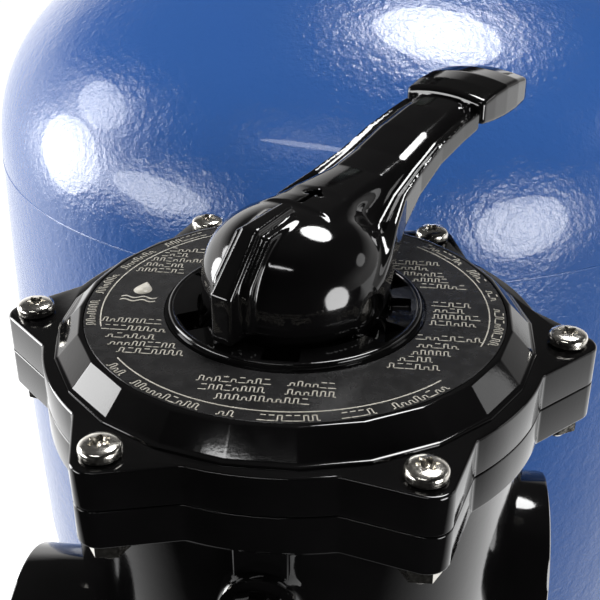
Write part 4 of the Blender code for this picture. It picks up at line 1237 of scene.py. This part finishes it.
def placesTree():
    tree, sockets, entry, leave = repeatTree("marksOnPlaces", {
        "Places": ("NodeSocketObject", None), "Height": ("NodeSocketFloat", 0.0),
        "Finish": ("NodeSocketMaterial", None)})
    info = tree.nodes.new("GeometryNodeObjectInfo")
    tree.links.new(entry.outputs["Places"], info.inputs["Object"])
    turn = tree.nodes.new("GeometryNodeInputNamedAttribute")
    turn.data_type = "FLOAT"
    turn.inputs["Name"].default_value = "turn"
    around = tree.nodes.new("ShaderNodeCombineXYZ")
    tree.links.new(turn.outputs["Attribute"], around.inputs["Z"])
    instance = tree.nodes.new("GeometryNodeInstanceOnPoints")
    tree.links.new(info.outputs["Geometry"], instance.inputs["Points"])
    tree.links.new(entry.outputs["Geometry"], instance.inputs["Instance"])
    tree.links.new(around.outputs["Vector"], instance.inputs["Rotation"])
    lift = tree.nodes.new("GeometryNodeTransform")
    up = tree.nodes.new("ShaderNodeCombineXYZ")
    up.inputs["X"].default_value = axisX
    up.inputs["Y"].default_value = axisY
    tree.links.new(entry.outputs["Height"], up.inputs["Z"])
    tree.links.new(up.outputs["Vector"], lift.inputs["Translation"])
    tree.links.new(instance.outputs["Instances"], lift.inputs["Geometry"])
    finishTree(tree, lift.outputs["Geometry"], entry, leave)
    return tree, sockets


def placesObject(spots):
    mesh = bpy.data.meshes.new("places")
    mesh.from_pydata([(x, y, 0) for x, y, _ in spots], [], [])
    turns = mesh.attributes.new("turn", "FLOAT", "POINT")
    for k, (_, _, turn) in enumerate(spots):
        turns.data[k].value = turn
    obj = bpy.data.objects.new("places", mesh)
    bpy.context.scene.collection.objects.link(obj)
    return obj


def makeMarks():
    w, h = label["pitch"] / 2, label["high"] / 2
    forms = {                                       # one crenel each, so a row reads as a meander border
        "tall": [(-w, -h, -w / 2, -h), (-w / 2, -h, -w / 2, h), (-w / 2, h, w / 2, h),
                 (w / 2, h, w / 2, -h), (w / 2, -h, w, -h)],
        "low": [(-w, -h, -w / 2, -h), (-w / 2, -h, -w / 2, 0.2 * h), (-w / 2, 0.2 * h, w / 2, 0.2 * h),
                (w / 2, 0.2 * h, w / 2, -h), (w / 2, -h, w, -h)],
        "rest": [(-w, -h, w, -h), (-w / 2, h, w / 2, h)],
    }
    tree, sockets = placesTree()
    for form, spots in pickMarks().items():
        spotsObject = placesObject(spots)
        base = makeObject("print_" + form, strokeMesh(forms[form]), "ink", 0)
        marks = runTree(base, tree, sockets,
                        {"Places": spotsObject, "Height": flangeTop + label["top"],
                         "Finish": finishes["ink"]})
        bpy.data.objects.remove(spotsObject)
        place(marks, "filter", slot="label")


def arcBand(bm, radius, pen, start, stop, low, high):
    steps = max(6, int((stop - start) / 1.5))
    rows = []
    for k in range(steps + 1):
        a = math.radians(start + (stop - start) * k / steps)
        rows.append([bm.verts.new((axisX + r * math.cos(a), axisY + r * math.sin(a), z))
                     for r, z in ((radius - pen / 2, low), (radius + pen / 2, low),
                                  (radius + pen / 2, high), (radius - pen / 2, high))])
    for first, second in zip(rows, rows[1:]):
        for k in range(4):
            n = (k + 1) % 4
            bm.faces.new((first[k], second[k], second[n], first[n]))
    bm.faces.new(rows[0])
    bm.faces.new(list(reversed(rows[-1])))


def makeLabelLines():
    bm = bmesh.new()
    z = flangeTop + label["top"]
    for start, stop in label["arcs"]:
        arcBand(bm, label["arcRadius"], label["arcPen"], start, stop, z - label["mark"], z + label["mark"])
    addDrop(bm, axisX + label["dropAt"][0], axisY + label["dropAt"][1], z)
    bmesh.ops.recalc_face_normals(bm, faces=bm.faces)
    return place(makeObject("printLines", bm, "ink", 0), "filter", slot="label")


def addDrop(bm, x, y, z):
    # a plain water drop over two waves
    outline = []
    for k in range(28):
        a = math.tau * k / 28
        pull = max(0.0, math.sin(a)) ** 3
        outline.append((x + 0.0030 * math.cos(a) * (1 - 0.55 * pull),
                        y + 0.0030 * math.sin(a) + 0.0026 * pull))
    closeSlab(bm, outline, z)
    for level in (-0.0052, -0.0074):
        upper, lower = [], []
        for k in range(25):
            u = -0.0058 + 0.0116 * k / 24
            wave = 0.0006 * math.sin(u / 0.0116 * 2 * math.tau)
            upper.append((x + u, y + level + wave + 0.00035))
            lower.append((x + u, y + level + wave - 0.00035))
        closeSlab(bm, lower + list(reversed(upper)), z)


def closeSlab(bm, outline, z):
    low = [bm.verts.new((px, py, z - label["mark"])) for px, py in outline]
    high = [bm.verts.new((px, py, z + label["mark"])) for px, py in outline]
    bm.faces.new(list(reversed(low)))
    bm.faces.new(high)
    for k in range(len(outline)):
        n = (k + 1) % len(outline)
        bm.faces.new((low[k], low[n], high[n], high[k]))


makeLabelRing()
makeMarks()
makeLabelLines()
print("label made")


# camera, floor and lights

def aim(obj, target):
    obj.rotation_euler = (Vector(target) - obj.location).to_track_quat("-Z", "Y").to_euler()


def makeCamera():
    shot = {"place": (0.0368, -0.7022, 0.7822), "target": (0.0003, -0.3915, 0.617), "lens": 64.57}
    camera = bpy.data.objects.new("camera", bpy.data.cameras.new("camera"))
    bpy.context.scene.collection.objects.link(camera)
    camera.location = shot["place"]
    aim(camera, shot["target"])
    camera.data.lens = shot["lens"]
    camera.data.sensor_width = 36
    camera.data.clip_start = 0.01
    bpy.context.scene.camera = camera


def makeFloor():
    bm = bmesh.new()
    bmesh.ops.create_grid(bm, x_segments=1, y_segments=1, size=30)
    mesh = bpy.data.meshes.new("floor")
    bm.to_mesh(mesh)
    bm.free()
    floor = bpy.data.objects.new("floor", mesh)
    bpy.context.scene.collection.objects.link(floor)
    material, tree, shader = newMaterial("paleFloor")
    shader.inputs["Base Color"].default_value = (0.55, 0.55, 0.55, 1)
    shader.inputs["Roughness"].default_value = 0.9
    shader.inputs["Specular IOR Level"].default_value = 0.0
    shader.inputs["Emission Color"].default_value = (1, 1, 1, 1)
    shader.inputs["Emission Strength"].default_value = 1.0
    coords = addNode(tree, "ShaderNodeTexCoord")
    parts = addNode(tree, "ShaderNodeSeparateXYZ")
    tree.links.new(coords.outputs["Object"], parts.inputs["Vector"])
    # what the glossy parts see of it: bright beside and behind
    dark = addNode(tree, "ShaderNodeEmission")
    sidewise = addNode(tree, "ShaderNodeMath", operation="MULTIPLY")
    tree.links.new(remap(tree, parts.outputs["Y"], 0.01, 1.4, -0.60, 0.0), sidewise.inputs[0])
    tree.links.new(remap(tree, parts.outputs["X"], 1.0, 0.9, 0.0, 0.5), sidewise.inputs[1])
    tree.links.new(sidewise.outputs["Value"], dark.inputs["Strength"])
    bounce = addNode(tree, "ShaderNodeBsdfDiffuse")
    bounce.inputs["Color"].default_value = (0.12, 0.12, 0.12, 1)
    shinyMix = addNode(tree, "ShaderNodeMixShader")
    mix = addNode(tree, "ShaderNodeMixShader")
    path = addNode(tree, "ShaderNodeLightPath")
    output = next(node for node in tree.nodes if node.type == "OUTPUT_MATERIAL")
    tree.links.new(path.outputs["Is Camera Ray"], mix.inputs["Fac"])
    tree.links.new(path.outputs["Is Glossy Ray"], shinyMix.inputs["Fac"])
    tree.links.new(bounce.outputs["BSDF"], shinyMix.inputs[1])
    tree.links.new(dark.outputs["Emission"], shinyMix.inputs[2])
    tree.links.new(shinyMix.outputs["Shader"], mix.inputs[1])
    tree.links.new(shader.outputs["BSDF"], mix.inputs[2])
    tree.links.new(mix.outputs["Shader"], output.inputs["Surface"])
    mesh.materials.append(material)


def softbox(name, azimuth, elevation, distance, width, height, power, target, shape="ELLIPSE"):
    # azimuth 0 stands in front of the valve and 90 to its right
    light = bpy.data.lights.new(name, "AREA")
    light.shape = shape
    light.size, light.size_y = width, height
    light.energy = power
    obj = bpy.data.objects.new(name, light)
    a, e = math.radians(azimuth), math.radians(elevation)
    direction = Vector((math.sin(a) * math.cos(e), -math.cos(a) * math.cos(e), math.sin(e)))
    obj.location = Vector(target) + direction * distance
    bpy.context.scene.collection.objects.link(obj)
    aim(obj, target)
    obj.visible_camera = False
    return obj


def makeLights():
    softbox("leftBox", -93, 2, 1.2, 0.60, 0.66, 13, (-0.147, -0.181, 0.587))
    softbox("leftFrontBox", -57, 4, 1.2, 0.74, 0.36, 7, (-0.090, -0.218, 0.579))
    softbox("overheadBox", 142, 71, 1.2, 0.60, 0.46, 15, (0.036, -0.178, 0.647))
    softbox("leftCard", -106, 24, 1.2, 0.46, 0.34, 4.0, (-0.075, -0.43, 0.616))
    softbox("rightCard", 110, 24, 1.2, 0.40, 0.26, 0.45, (0.075, -0.43, 0.616))
    softbox("rightBox", 47, -2, 1.2, 0.62, 0.70, 13, (0.085, -0.221, 0.576))
    softbox("stripBox", -17, 47, 1.2, 0.62, 0.06, 1.1, (-0.015, -0.221, 0.609))


def makeWorld():
    # bright behind and at the sides near the horizon, dark in front and above
    world = bpy.data.worlds.new("studio")
    bpy.context.scene.world = world
    world.use_nodes = True
    tree = world.node_tree
    back = tree.nodes["Background"]
    coords = tree.nodes.new("ShaderNodeTexCoord")
    parts = tree.nodes.new("ShaderNodeSeparateXYZ")
    tree.links.new(coords.outputs["Generated"], parts.inputs["Vector"])
    sides = remap(tree, parts.outputs["Y"], 0.01, 1.5, -0.45, 0.0)
    heights = remap(tree, parts.outputs["Z"], 1.0, 0.04, 0.16, 0.42)
    warm = remap(tree, parts.outputs["X"], 1.0, 0.35, 0.1, 0.6)
    path = tree.nodes.new("ShaderNodeLightPath")
    soft = remap(tree, path.outputs["Is Diffuse Ray"], 1.0, 0.48, 0.0, 1.0)
    total = sides
    for factor in (heights, warm, soft):
        times = tree.nodes.new("ShaderNodeMath")
        times.operation = "MULTIPLY"
        tree.links.new(total, times.inputs[0])
        tree.links.new(factor, times.inputs[1])
        total = times.outputs["Value"]
    seen = addNode(tree, "ShaderNodeMix", data_type="FLOAT")     # plain white where the camera looks at it
    seen.inputs[3].default_value = 1.0
    tree.links.new(path.outputs["Is Camera Ray"], seen.inputs[0])
    tree.links.new(total, seen.inputs[2])
    tree.links.new(seen.outputs[0], back.inputs["Strength"])
    back.inputs["Color"].default_value = (1.0, 0.985, 0.975, 1)


makeCamera()
makeFloor()
makeLights()
makeWorld()
bpy.context.scene.view_settings.view_transform = "Standard"
print("camera, floor and lights set")
